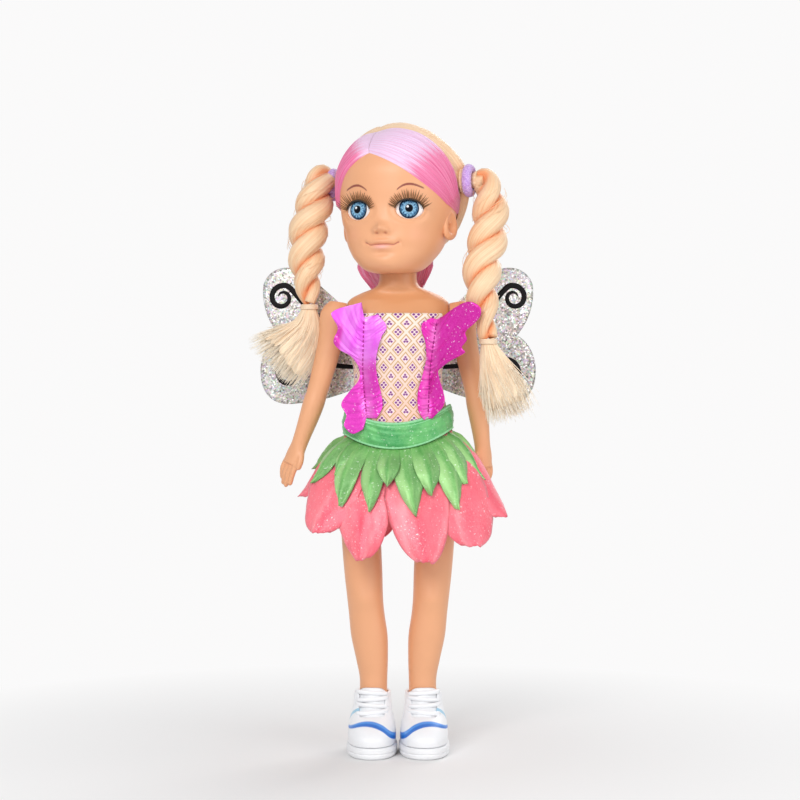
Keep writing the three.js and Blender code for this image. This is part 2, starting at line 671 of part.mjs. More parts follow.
// Eyes: a white bowl with a seat for the domed iris, and a lash strip along the upper lid.
const names = { "-1": "right", 1: "left" };
for (const side of [-1, 1]) {
  const irisSeat = -EYE_HALF_DEEP + 1;
  let white = eyeBall(side, 0);
  const irisHole = IRIS_R + TOUCH_GAP;
  white = white.subtract(eyeBar(side, irisHole, irisHole, -3 * EYE_HALF_DEEP, irisSeat + 1));
  piece("eye_white_" + names[side], white, EYE_WHITE, headGroup);

  const irisProfile = [
    new THREE.Vector2(0, 0),
    new THREE.Vector2(IRIS_R, 0),
    new THREE.Vector2(IRIS_R, 0.7),
    new THREE.Vector2(IRIS_R * 0.7, IRIS_THICK * 0.8),
    new THREE.Vector2(IRIS_R * 0.35, IRIS_THICK),
    new THREE.Vector2(0, IRIS_THICK + 0.1),
  ];
  const lens = new THREE.LatheGeometry(irisProfile, 18).rotateX(Math.PI);
  lens.translate(0, irisSeat + 1 - TOUCH_GAP, 0);
  const lidTall = LID_HALF_TALL - TOUCH_GAP;
  const seen = eyeBar(side, LID_HALF_WIDE - TOUCH_GAP, lidTall, -3 * EYE_HALF_DEEP, EYE_HALF_DEEP);
  piece("iris_" + names[side], facing(placeEye(lens, side)).intersect(seen), IRIS, headGroup);

  const rimPoint = (turn, out, ahead) => {
    const x = (LID_HALF_WIDE - 0.9 + out) * Math.cos(turn);
    const z = (LID_HALF_TALL - 0.9 + out) * Math.sin(turn);
    return vec(x, ahead, z);
  };
  const bed = -LASH_AHEAD;
  const strip = [];
  for (let i = 0; i <= 8; i++) strip.push(rimPoint(rad(18 + 18 * i), 0, bed));
  const place = (p) => {
    p.applyAxisAngle(vec(0, 0, 1), rad(side * EYE_TOE_OUT));
    return p.add(vec(side * EYE_HALF_SPACING, EYE_Y, EYE_RISE));
  };
  const stripCurve = new THREE.CatmullRomCurve3(strip.map(place));
  let lashes = tube(stripCurve, () => [LASH_R, LASH_R], 8, 5);
  for (let i = 0; i < LASH_COUNT; i++) {
    const share = i / (LASH_COUNT - 1);
    const turn = rad(24 + 132 * share);
    const outer = side > 0 ? 1 - share : share;
    const length = LASH_LENGTH * (0.6 + 0.4 * outer);
    const from = place(rimPoint(turn, 0, bed));
    const to = place(rimPoint(turn, length, bed - 2.2 - length * 0.35));
    lashes = lashes.add(spike(from, to, LASH_R));
  }
  piece("lashes_" + names[side], lashes, LASH, headGroup);
}

// Hair: a shell over the skull behind the hairline, pink in front and blonde behind.
const slope = vec(0, TEMPLE_Y - HAIRLINE_Y, TEMPLE_RISE - HAIRLINE_RISE).normalize();
const tilt = Math.atan2(slope.z, slope.y);

// The half of space behind the hairline, which falls from the parting to one side.
function behindHairline(side, back = 0) {
  const cut = new THREE.BoxGeometry(FAR, FAR, FAR).translate(0, 0, FAR / 2 + back);
  cut.rotateX(tilt).rotateY(rad(side * HAIRLINE_ROLL));
  return solid(cut.translate(PARTING_X, HAIRLINE_Y, HAIRLINE_RISE));
}

// The half of space above the lower edge of the hair, from behind the ears to the nape.
function aboveNeckline(grow) {
  const cut = new THREE.BoxGeometry(FAR, FAR, FAR).translate(0, 0, FAR / 2 - grow);
  cut.rotateX(rad(-NECKLINE_TILT));
  return solid(cut.translate(0, NECKLINE_Y, NECKLINE_RISE));
}
const aboveNape = block(vec(-FAR, -FAR, NAPE_RISE), vec(FAR, FAR, FAR));

// The half of space behind the front of the blonde hair, which leans forward to the crown.
function behindBlonde(grow) {
  const cut = new THREE.BoxGeometry(FAR, FAR, FAR).translate(0, FAR / 2 + grow, 0);
  cut.rotateX(rad(BLONDE_LEAN));
  return solid(cut.translate(0, BLONDE_Y, TIE_RISE - 4));
}

const skull = headBody(SLEEVE_GAP + 1, false, 14, 20);
const ears = earBody(-1, 0.6).add(earBody(1, 0.6));
const tied = (side) => vec(side * TIE_X, TIE_Y, TIE_RISE);

// A terry ring round the root of a twist.
function tieRing(side, grow) {
  const shape = new THREE.TorusGeometry(TIE_R, TIE_THICK_R + grow, 7, 16).rotateY(Math.PI / 2);
  const at = tied(side);
  return solid(shape.translate(at.x, at.y, at.z));
}

// The gathered root of a twist, through its tie.
function stub(side, grow) {
  const profile = [
    [0, HEAD_HALF - 6],
    [STUB_R + 5 + grow, HEAD_HALF - 6],
    [STUB_R + 1.6 + grow, TIE_X - 3.4],
    [STUB_R + grow, TIE_X - 1.4],
    [STUB_R + grow, TIE_X + STUB_OUT - 0.4 + grow],
    [0, TIE_X + STUB_OUT + grow],
  ].map(([r, x]) => new THREE.Vector2(r, x));
  const shape = new THREE.LatheGeometry(profile, 12).rotateZ(side * -Math.PI / 2);
  return facing(shape.translate(0, TIE_Y, TIE_RISE));
}

let cap = headBody(HAIR_THICK, false, 14, 22).intersect(aboveNape);
cap = cap.add(stub(-1, 0)).add(stub(1, 0));
const ties = tieRing(-1, TOUCH_GAP).add(tieRing(1, TOUCH_GAP));
cap = cap.subtract(skull).subtract(ears).subtract(ties);
cap = cap.intersect(behindBlonde(TOUCH_GAP)).intersect(aboveNeckline(0));
piece("hair_cap", cap, BLONDE, headGroup);

const fringe = headBody(FRINGE_THICK, false, 14, 22)
  .intersect(block(vec(-FAR, -FAR, FRINGE_LOW), vec(FAR, FAR, FAR)))
  .subtract(skull)
  .subtract(ears)
  .subtract(ties)
  .subtract(behindBlonde(0));
const toLeft = block(vec(PARTING_X + TOUCH_GAP / 2, -FAR, -FAR), vec(FAR, FAR, FAR));
const toRight = block(vec(-FAR, -FAR, -FAR), vec(PARTING_X - TOUCH_GAP / 2, FAR, FAR));
const fringeLeft = fringe.intersect(toLeft).intersect(behindHairline(1));
const fringeRight = fringe.intersect(toRight).intersect(behindHairline(-1));
piece("fringe_left", fringeLeft, PINK_HAIR, headGroup);
piece("fringe_right", fringeRight, PINK_HAIR, headGroup);

// The pink lock that hangs behind the neck, below the rooted hair.
const LOCK = [
  { z: NAPE_LOCK_LOW, x: LOCK_X, y: 24.5, wide: 12, front: 1, back: 1 },
  { z: NAPE_LOCK_LOW + 4, x: LOCK_X, y: 24.6, wide: 18, front: 2, back: 2 },
  { z: -4, x: LOCK_X, y: 24.4, wide: 24.5, front: 2.6, back: 2.4 },
  { z: NAPE_RISE, x: LOCK_X, y: 24.6, wide: 27, front: 4, back: 2.6 },
  { z: NAPE_RISE + 14, x: LOCK_X * 0.5, y: 27, wide: 27, front: 9, back: 5 },
];
const lock = stack(LOCK, NAPE_LOCK_LOW, NAPE_RISE + 14, { levels: 7, sides: 16, round: 3 });
const hairAbove = aboveNeckline(TOUCH_GAP);
piece("nape_lock", lock.subtract(skull).subtract(hairAbove), PINK_HAIR, headGroup);

// Hair ties, twists and tails
headGroup.updateMatrixWorld(true);
for (const side of [-1, 1]) {
  piece("hair_tie_" + names[side], tieRing(side, 0), TERRY, headGroup);
}

// A rope of two strands wound round each other along a curve.
function ropeTwist(curve, turns, fullness, start) {
  const steps = 23;
  const frames = curve.computeFrenetFrames(steps, false);
  let rope = null;
  for (const half of [0, Math.PI]) {
    const points = [];
    for (let i = 0; i <= steps; i++) {
      const share = i / steps;
      const turn = 2 * Math.PI * turns * share + half + start;
      const orbit = STRAND_ORBIT * fullness(share);
      const p = curve.getPointAt(share);
      p.addScaledVector(frames.normals[i], orbit * Math.cos(turn));
      p.addScaledVector(frames.binormals[i], orbit * Math.sin(turn));
      points.push(p);
    }
    const strandCurve = new THREE.CatmullRomCurve3(points);
    const radius = (share) => {
      const r = STRAND_R * fullness(share);
      return [r, r];
    };
    const strand = tube(strandCurve, radius, steps, 6);
    rope = rope ? rope.add(strand) : strand;
  }
  return rope;
}

// A brush of hair: a flat tail that widens from its tie.
function hairTail(points, widths, thick) {
  const curve = new THREE.CatmullRomCurve3(points);
  const steps = 8;
  const rings = [];
  const sides = 12;
  for (let i = 0; i <= steps; i++) {
    const share = i / steps;
    const middle = curve.getPointAt(share);
    const ahead = curve.getTangentAt(share);
    const flat = vec(0, -1, 0);
    const across = ahead.clone().cross(flat).normalize();
    const through = ahead.clone().cross(across).normalize();
    const wide = curveThrough(widths, share);
    const deep = curveThrough(thick, share);
    const round = [];
    for (let j = 0; j < sides; j++) {
      const turn = (2 * Math.PI * j) / sides;
      const ripple = 1 + 0.12 * Math.sin(5 * turn);
      const p = middle.clone().addScaledVector(across, wide * Math.cos(turn));
      p.addScaledVector(through, deep * ripple * Math.sin(turn));
      round.push(p);
    }
    rings.push(round);
  }
  return facing(skin(rings));
}

const FULL = [
  [0, 0.45],
  [0.12, 0.84],
  [0.35, 1],
  [0.7, 0.95],
  [0.88, 0.72],
  [1, 0.36],
];
const HANG = {
  "-1": {
    turns: TWIST_TURNS_RIGHT,
    path: [
      [-5.2, 0.6, 1],
      [-8.6, -4, 5],
      [-11.6, -10, -8],
      [-16.6, -13, -32],
      [-18, -14, -58],
      [-16, -15, -81],
    ],
    tail: [
      [0, 0, -1.9],
      [-2, 2, -14],
      [-11, 4, -28],
      [-23, 5, -41],
    ],
    widths: [[0, 3], [0.3, 7], [0.7, 15], [1, 20]],
    thick: [[0, 2.6], [0.3, 4], [0.7, 3], [1, 1.2]],
  },
  1: {
    turns: TWIST_TURNS_LEFT,
    path: [
      [5.6, -1.6, 0],
      [10.6, -3, -1],
      [14.6, -4, -14],
      [13, -6.5, -38],
      [8.5, -10.5, -62],
      [9, -13.5, -84],
      [13, -14.5, -105],
    ],
    tail: [
      [0, 0, -1.9],
      [4, 0, -16],
      [10, 1, -32],
      [16.5, 2, -49],
    ],
    widths: [[0, 3], [0.3, 6], [0.7, 9.5], [1, 11]],
    thick: [[0, 2.6], [0.3, 4], [0.7, 3.4], [1, 1.4]],
  },
};
const hairGap = HAIR_THICK + TOUCH_GAP;
const roomForHair = headBody(hairGap, false, 14, 22)
  .add(stub(-1, TOUCH_GAP).add(stub(1, TOUCH_GAP)))
  .add(ties)
  .transform(headGroup.matrixWorld.elements);
for (const side of [-1, 1]) {
  const { turns, path, tail, widths, thick } = HANG[side];
  const from = headGroup.localToWorld(tied(side));
  const points = path.map(([x, y, z]) => from.clone().add(vec(x, y, z)));
  const curve = new THREE.CatmullRomCurve3(points);
  const fullness = (share) => curveThrough(FULL, share);
  const wound = ropeTwist(curve, turns, fullness, 0.6).subtract(roomForHair).decompose();
  const rope = wound.reduce((a, b) => (a.volume() > b.volume() ? a : b));
  piece("twist_" + names[side], rope, BLONDE);

  const end = points[points.length - 1];
  const knot = end.clone().add(vec(0, 0, -TAIL_TIE_THICK_R - 1.4));
  const ringEnd = new THREE.TorusGeometry(TAIL_TIE_R, TAIL_TIE_THICK_R, 6, 12);
  ringEnd.translate(knot.x, knot.y, knot.z);
  piece("tail_tie_" + names[side], solid(ringEnd), ELASTIC);

  const brush = tail.map(([x, y, z]) => knot.clone().add(vec(x, y, z - TOUCH_GAP)));
  piece("tail_" + names[side], hairTail(brush, widths, thick), BLONDE);
}

// Arms: soft vinyl, each turning on a plug through the shoulder.
function arm(side, splay, handSplay, lean) {
  const from = vec(side * SHOULDER_OUT, 0, SHOULDER_Z);
  const step = (start, length, angle) => {
    const down = vec(side * Math.sin(rad(angle)), 0, -Math.cos(rad(angle)));
    down.applyAxisAngle(vec(1, 0, 0), rad(lean));
    return start.clone().addScaledVector(down, length);
  };
  const elbow = step(from, UPPER_ARM, splay);
  const wrist = step(elbow, FOREARM, (splay + handSplay) / 2);
  const knuckles = step(wrist, PALM, handSplay);
  const top = from.clone().add(vec(-side * 1.5, 0, SHOULDER_R - 2));
  const curve = new THREE.CatmullRomCurve3([top, from, elbow, wrist, knuckles]);
  const total = SHOULDER_R + UPPER_ARM + FOREARM + PALM;
  const at = (length) => (SHOULDER_R - 2 + length) / (total - 2);
  const across = [
    [0, SHOULDER_R * 0.55],
    [at(-5), SHOULDER_R * 0.86],
    [at(1), SHOULDER_R],
    [at(16), ARM_R + 0.6],
    [at(34), ARM_R - 0.3],
    [at(UPPER_ARM), ELBOW_R],
    [at(UPPER_ARM + 10), ELBOW_R + 0.2],
    [at(UPPER_ARM + FOREARM), WRIST_R],
    [at(UPPER_ARM + FOREARM + 9), WRIST_R + 1.6],
    [1, WRIST_R + 0.9],
  ];
  const through = across.map(([s, r], i) => [s, i > 7 ? WRIST_R - 1 : r]);
  const radii = (share) => [curveThrough(across, share), curveThrough(through, share)];
  let shape = tube(curve, radii, 18, 10);

  // The hand lies with its back half turned to the front, the thumb on the inner side.
  const down = knuckles.clone().sub(wrist).normalize();
  const spread = vec(-side * 0.75, -0.66, 0);
  spread.addScaledVector(down, -spread.dot(down)).normalize();
  const lengths = [0.86, 1, 0.95, 0.75];
  lengths.forEach((share, i) => {
    const root = knuckles.clone().addScaledVector(spread, (1.5 - i) * 3.2);
    root.addScaledVector(down, -3);
    const tip = root.clone().addScaledVector(down, FINGER * share + 3);
    tip.addScaledVector(spread, (1.5 - i) * 0.7);
    shape = shape.add(finger(root, tip, FINGER_R, FINGER_R * 0.8, 6));
  });
  const base = wrist.clone().addScaledVector(down, 4).addScaledVector(spread, 3);
  const thumbTip = base.clone().addScaledVector(down, 13).addScaledVector(spread, 5.5);
  shape = shape.add(finger(base, thumbTip, FINGER_R * 1.2, FINGER_R * 0.9, 6));

  const plane = side * (SHOULDER_PLANE + TOUCH_GAP);
  const inward = [plane - side * 90, plane].sort((a, b) => a - b);
  shape = shape.subtract(block(vec(inward[0], -FAR, 0), vec(inward[1], FAR, FAR)));
  const inner = SHOULDER_PLANE - TRUNK_WALL - 2;
  const plug = barX(ARM_PLUG_R, side * (inner - 0.5), side * (SHOULDER_PLANE + 3), 0, SHOULDER_Z);
  const flange = barX(ARM_FLANGE_R, side * (inner - FLANGE_THICK), side * inner, 0, SHOULDER_Z);
  return shape.add(plug).add(flange);
}
piece("arm_left", arm(1, LEFT_SPLAY, LEFT_HAND_SPLAY, LEFT_LEAN), SKIN);
piece("arm_right", arm(-1, RIGHT_SPLAY, RIGHT_HAND_SPLAY, RIGHT_LEAN), SKIN);

// Legs, from the sole of the foot to the hip
const FOOT_TOE = SHOE_TOE - 22;
const FOOT_HEEL = SHOE_HEEL + 5;
const SWING = THIGH_SWING - 0.4;
const LEG = [
  { z: SOLE_THICK + 2, x: SHOE_OUT, y: -10, wide: SHOE_HALF - 4.4, front: FOOT_TOE + 4, back: FOOT_HEEL },
  { z: 16, x: SHOE_OUT, y: -9, wide: SHOE_HALF - 3.6, front: FOOT_TOE + 3, back: FOOT_HEEL },
  { z: 25, x: SHOE_OUT - 0.3, y: -5, wide: SHOE_HALF - 5, front: FOOT_TOE - 5, back: FOOT_HEEL - 5 },
  { z: 34, x: SHOE_OUT - 0.6, y: -1, wide: ANKLE_HALF + 0.3, front: 11.5, back: 13.5 },
  { z: ANKLE_HEIGHT, x: ANKLE_OUT, y: 0, wide: ANKLE_HALF, front: 9.6, back: 10.6 },
  { z: ANKLE_HEIGHT + 13, x: ANKLE_OUT + 1, y: 0, wide: ANKLE_HALF + 1.4, front: 10.4, back: 13 },
  { z: CALF_HEIGHT, x: ANKLE_OUT + 2.8, y: 0, wide: CALF_HALF, front: 11.6, back: 15.6 },
  { z: CALF_HEIGHT + 15, x: KNEE_OUT - 1, y: 0, wide: KNEE_HALF - 0.1, front: 12.2, back: 13.8 },
  { z: KNEE_HEIGHT, x: KNEE_OUT, y: 0, wide: KNEE_HALF, front: 13.2, back: 12.6 },
  { z: KNEE_HEIGHT + 17, x: KNEE_OUT + 1.2, y: 0, wide: KNEE_HALF + 0.7, front: 13.4, back: 13.2 },
  { z: HIP_HEIGHT - 46, x: THIGH_OUT - 0.9, y: 0, wide: THIGH_HALF - 0.9, front: 14.8, back: 15 },
  { z: HIP_HEIGHT - 21, x: THIGH_OUT - 0.2, y: 0, wide: THIGH_HALF - 0.2, front: 16.2, back: 16.4 },
  { z: HIP_HEIGHT - 4, x: THIGH_OUT, y: 0, wide: THIGH_HALF, front: SWING, back: SWING },
  { z: HIP_HEIGHT + 6, x: THIGH_OUT, y: 0, wide: THIGH_HALF - 1.6, front: 15.4, back: 15.4 },
  { z: HIP_HEIGHT + 12, x: THIGH_OUT - 0.6, y: 0, wide: THIGH_HALF - 4.4, front: 11.6, back: 11.6 },
  { z: HIP_HEIGHT + THIGH_SWING - 0.8, x: THIGH_OUT - 2, y: 0, wide: 5, front: 3.6, back: 3.6 },
];
const mirrored = (sections, side) => sections.map((s) => ({ ...s, x: side * s.x }));

// The leg from the foot up to the hip, grown all round.
function legBody(side, grow) {
  const options = { levels: 22, sides: 12, grow };
  const top = HIP_HEIGHT + THIGH_SWING - 0.8;
  return stack(mirrored(LEG, side), SOLE_THICK + 2, top, options);
}

function leg(side) {
  let shape = legBody(side, 0);
  const plane = side * (PELVIS_HALF + TOUCH_GAP);
  const inward = [plane - side * 60, plane].sort((a, b) => a - b);
  shape = shape.subtract(block(vec(inward[0], -FAR, HIP_HEIGHT - 50), vec(inward[1], FAR, FAR)));
  const inner = pelvisHalf - TOUCH_GAP;
  const plug = barX(LEG_PLUG_R, side * (inner - 0.5), side * (PELVIS_HALF + 4), 0, HIP_HEIGHT);
  const flange = barX(LEG_FLANGE_R, side * (inner - FLANGE_THICK), side * inner, 0, HIP_HEIGHT);
  return shape.add(plug).add(flange);
}

// Shoe sections, from the top of the sole to the collar
const WELT = SOLE_THICK + TOUCH_GAP;
const SHOE_BODY = [
  { z: WELT, x: SHOE_OUT, y: -10, wide: SHOE_HALF, front: SHOE_TOE - 11.4, back: SHOE_HEEL + 9.2 },
  { z: 13, x: SHOE_OUT, y: -10, wide: SHOE_HALF + 0.2, front: SHOE_TOE - 11, back: SHOE_HEEL + 9.6 },
  { z: 19, x: SHOE_OUT, y: -8, wide: SHOE_HALF - 0.4, front: SHOE_TOE - 15, back: SHOE_HEEL + 7.6 },
  { z: 25, x: SHOE_OUT, y: -5, wide: SHOE_HALF - 1.8, front: SHOE_TOE - 22.4, back: SHOE_HEEL + 4 },
  { z: 31, x: SHOE_OUT - 0.2, y: -2, wide: SHOE_HALF - 3, front: 16, back: SHOE_HEEL },
  { z: SHOE_COLLAR, x: SHOE_OUT - 0.4, y: 0, wide: SHOE_HALF - 3.6, front: 13.2, back: SHOE_HEEL - 2.6 },
];
const SHOE_ROUND = 2.35;
for (const side of [-1, 1]) {
  piece("leg_" + names[side], leg(side), SKIN);

  const sections = mirrored(SHOE_BODY, side);
  const options = { levels: 7, sides: 20, round: SHOE_ROUND };
  let upper = stack(sections, WELT, SHOE_COLLAR, options);
  const footRoom = legBody(side, SHOE_ROOM);
  upper = upper.subtract(footRoom);
  const x = side * SHOE_OUT;
  const throat = block(
    vec(x - TONGUE_HALF - TOUCH_GAP, -SHOE_TOE, TONGUE_LOW),
    vec(x + TONGUE_HALF + TOUCH_GAP, -4, TONGUE_TOP),
  );
  upper = upper.subtract(throat);
  let tongue = legBody(side, SHOE_ROOM + TONGUE_THICK).subtract(footRoom);
  const tongueRoom = block(
    vec(x - TONGUE_HALF, -SHOE_TOE, TONGUE_LOW + TOUCH_GAP),
    vec(x + TONGUE_HALF, -4, TONGUE_TOP),
  );
  tongue = tongue.intersect(tongueRoom);
  for (let i = 0; i < LACE_COUNT; i++) {
    const z = TONGUE_LOW + 3 + i * 3.6;
    const s = sectionAt(mirrored(LEG, side), z);
    const y = s.y - s.front - SHOE_ROOM - TONGUE_THICK;
    const lace = new THREE.CapsuleGeometry(LACE_R, 2 * TONGUE_HALF - 2 * LACE_R - 0.6, 2, 6);
    lace.rotateZ(Math.PI / 2 + side * rad(i % 2 ? 8 : -8)).translate(x, y - 0.2, z);
    tongue = tongue.add(solid(lace));
  }
  piece("shoe_upper_" + names[side], upper, SHOE);
  piece("shoe_tongue_" + names[side], tongue, SHOE);

  const rims = [
    [0, -0.6],
    [1.2, SOLE_LIP * 0.6],
    [SOLE_THICK - 2, SOLE_LIP],
    [SOLE_THICK - 0.6, SOLE_LIP * 0.7],
    [SOLE_THICK, 0],
  ];
  const rings = rims.map(([z, grow]) => ring({ ...sections[0], z }, 20, grow, SHOE_ROUND));
  piece("shoe_sole_" + names[side], solid(skin(rings)), RUBBER);
}

// Bodice: a printed tube of cloth with scooped armholes, closed at the back.
let bodice = trunkBody(BODICE_GAP + CLOTH, BODICE_LOW, BODICE_TOP, 8, 18);
bodice = bodice.subtract(trunkBody(BODICE_GAP, BODICE_LOW - 2, BODICE_TOP + 3, 9, 18));
for (const side of [-1, 1]) {
  bodice = bodice.subtract(barX(ARMHOLE_R, side * 24, side * 60, 0, SHOULDER_Z + 2));
}
piece("bodice", bodice, PRINT);

const overBodice = BODICE_GAP + CLOTH + TOUCH_GAP;
let closure = trunkBody(overBodice + CLOTH, BAND_TOP + 2, BODICE_TOP - 2, 8);
closure = closure.subtract(trunkBody(overBodice, BAND_TOP, BODICE_TOP, 9));
const atBack = block(vec(-CLOSURE_HALF, 5, 0), vec(CLOSURE_HALF, 60, FAR));
piece("bodice_closure", closure.intersect(atBack), HOOK);

let waist = trunkBody(overBodice + CLOTH + 0.6, BAND_LOW, BAND_TOP, 3);
waist = waist.subtract(trunkBody(overBodice, BAND_LOW - 2, BAND_TOP + 2, 4));
piece("waistband", waist, GREEN);

// Butterflies: film fans that open to both sides of a seam down the front of the bodice.
const LOBES = {
  "-1": {
    outer: [
      [0, 15, 26],
      [0.12, 20, 8],
      [0.3, 20, -14],
      [0.46, 8, -6],
      [0.6, 8, -4],
      [0.8, 17, -22],
      [1, 21, -46],
    ],
    inner: [
      [0, 10, -4],
      [0.14, 14, -14],
      [0.34, 9, -10],
      [0.5, 7, 0],
      [0.75, 9, 6],
      [1, 9, 12],
    ],
    lift: 0.34,
  },
  1: {
    outer: [
      [0, 30, 20],
      [0.1, 30, 10],
      [0.22, 22, -4],
      [0.4, 16, -10],
      [0.5, 5, -4],
      [0.75, 9, -8],
      [1, 8, -30],
    ],
    inner: [
      [0, 10, -6],
      [0.14, 11, -12],
      [0.34, 8, -8],
      [0.5, 7, 0],
      [0.75, 9, 6],
      [1, 9, 14],
    ],
    lift: 0.44,
  },
};
const onBodice = overBodice + FILM;
for (const side of [-1, 1]) {
  const { outer, inner, lift } = LOBES[side];
  const rows = 9;
  const face = [];
  const behind = [];
  for (let i = 0; i <= rows; i++) {
    const s = i / rows;
    const seamZ = SEAM_TOP + (SEAM_LOW - SEAM_TOP) * s;
    const seamX = side * (SEAM_OUT + 1.5 - 3 * s);
    const at = (pairs, column) => curveThrough(pairs.map((p) => [p[0], p[column]]), s);
    const row = [];
    const rowBack = [];
    for (let j = -4; j <= 5; j++) {
      const out = j > 0;
      const reach = out ? (at(outer, 1) * j) / 5 : (at(inner, 1) * -j) / 4;
      const angle = rad(out ? at(outer, 2) : at(inner, 2));
      const px = seamX + side * (out ? 1 : -1) * reach * Math.cos(angle);
      const pz = seamZ + reach * Math.sin(angle);
      const rest = trunkFront(seamX, seamZ, onBodice) - lift * reach;
      const onChest = trunkFront(px, pz, onBodice + 0.3);
      const py = out ? Math.min(rest, onChest) : onChest - 0.04 * reach;
      row.push(vec(px, py, pz));
      rowBack.push(vec(px, py + FILM, pz));
    }
    face.push(row);
    behind.push(rowBack);
  }
  piece("butterfly_" + names[side], facing(sheet(face, behind)), MAGENTA);
}

// Skirt layers: pointed petals gathered under the waistband, flaring down.
const SKIRT_TOP = BAND_LOW - TOUCH_GAP;
const skirtRing = sectionAt(TRUNK, SKIRT_TOP);

// A place on a skirt layer: degrees round from the front, drop, and the layer's own growth.
function skirtPoint(turn, drop, grow) {
  const flank = Math.sin(turn) ** 2;
  const flare = FRONT_FLARE + (SIDE_FLARE - FRONT_FLARE) * flank ** 2;
  const round = Math.abs(Math.atan2(Math.sin(turn), Math.cos(turn)));
  const toHand = (THREE.MathUtils.radToDeg(round) - HAND_ROOM_AT) / HAND_ROOM_WIDE;
  const pressed = 1 - HAND_ROOM * Math.exp(-toHand * toHand);
  const out = flare * drop * (1 - drop / 300) * pressed + grow;
  const ahead = Math.cos(turn) > 0 ? skirtRing.front : skirtRing.back;
  const x = (skirtRing.wide + out) * Math.sin(turn);
  const y = skirtRing.y - (ahead + out) * Math.cos(turn);
  return vec(x, y, SKIRT_TOP - drop);
}

// A layer of the skirt: one cloth, cut in pointed petals round its hem.
function petals(count, frontDrop, sideDrop, cut, top, grow) {
  const start = 0.5;
  const columns = 4;
  const rows = 4;
  const loops = [];
  for (let i = 0; i < count * columns; i++) {
    const turn = (2 * Math.PI * (i / columns + start)) / count;
    const tip = (2 * Math.PI * (Math.floor(i / columns + 0.5) + start)) / count;
    const flank = Math.sin(tip) ** 4;
    const length = frontDrop + (sideDrop - frontDrop) * flank;
    const off = Math.abs((i / columns + 0.5) % 1 - 0.5) * 2;
    const hem = length * (1 - cut + cut * (1 - off) ** 0.7);
    const outer = [];
    const inner = [];
    for (let j = 0; j <= rows; j++) {
      const share = j / rows;
      const fold = 1.4 * share * (1 - off * off);
      const out = j === 0 ? top : grow + fold;
      outer.push(skirtPoint(turn, hem * share, out));
      inner.push(skirtPoint(turn, hem * share, out - FILM));
    }
    loops.push([...outer.reverse(), ...inner]);
  }
  return facing(hoop(loops));
}
const petalGrow = overBodice + 2;
const leafGrow = petalGrow + LAYER_GAP;
const petalTop = overBodice + FILM;
const leafTop = petalTop + FILM + TOUCH_GAP;
const petalSizes = [PETAL_COUNT, PETAL_DROP, PETAL_SIDE_DROP, PETAL_CUT];
const leafSizes = [LEAF_COUNT, LEAF_DROP, LEAF_SIDE_DROP, LEAF_CUT];
piece("petal_layer", petals(...petalSizes, petalTop, petalGrow), PETAL);
piece("leaf_layer", petals(...leafSizes, leafTop, leafGrow), GREEN);

// Wings: two lobed film sheets sewn to the back closure under a centre band.
const wingRoot = SHOULDER_Z - 28;
const backAt = sectionAt(TRUNK, wingRoot);
const WING_Y = backAt.y + backAt.back + overBodice + CLOTH + 2 * TOUCH_GAP;
for (const side of [-1, 1]) {
  const outline = new THREE.Shape();
  outline.moveTo(0.4, wingRoot + 7);
  outline.lineTo(5, wingRoot + 8);
  const [tip, high, low, notch] = [WING_SPAN, WING_HIGH, WING_LOW, WING_NOTCH];
  outline.bezierCurveTo(25, wingRoot + 22, 42, high - 22, tip - 33, high - 6);
  outline.bezierCurveTo(tip - 22, high + 3, tip - 6, high + 1, tip - 2, high - 12);
  outline.bezierCurveTo(tip, high - 26, tip - 6, notch + 8, tip - 13, notch);
  outline.bezierCurveTo(tip - 4, notch - 4, tip + 1, notch - 16, tip, low + 20);
  outline.bezierCurveTo(tip - 1, low + 6, tip - 9, low - 1, tip - 22, low);
  outline.bezierCurveTo(tip - 50, low + 2, 30, low + 10, 5, wingRoot - 9);
  outline.lineTo(0.4, wingRoot - 8);
  const thickness = { depth: WING_FILM, bevelEnabled: false, curveSegments: 7 };
  const film = new THREE.ExtrudeGeometry(outline, thickness);
  film.rotateX(Math.PI / 2).translate(0, WING_FILM, 0);
  film.rotateZ(rad(WING_SWEEP)).scale(side, 1, 1).translate(0, WING_Y, 0);
  piece("wing_" + names[side], facing(film), WING);
}
const overWing = WING_Y + WING_FILM + TOUCH_GAP + WING_BAND_HALF * Math.tan(rad(WING_SWEEP));
const wingBand = block(
  vec(-WING_BAND_HALF, overWing, wingRoot - 14),
  vec(WING_BAND_HALF, overWing + WING_BAND_THICK, wingRoot + 14),
);
piece("wing_band", wingBand, HOOK);

// The origin lies at the bottom centre of the doll's box.
doll.updateMatrixWorld(true);
const box = new THREE.Box3().setFromObject(doll);
const centre = box.getCenter(vec(0, 0, 0));
doll.position.set(-centre.x, -centre.y, -box.min.z);

export default doll;
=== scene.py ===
import json
import math

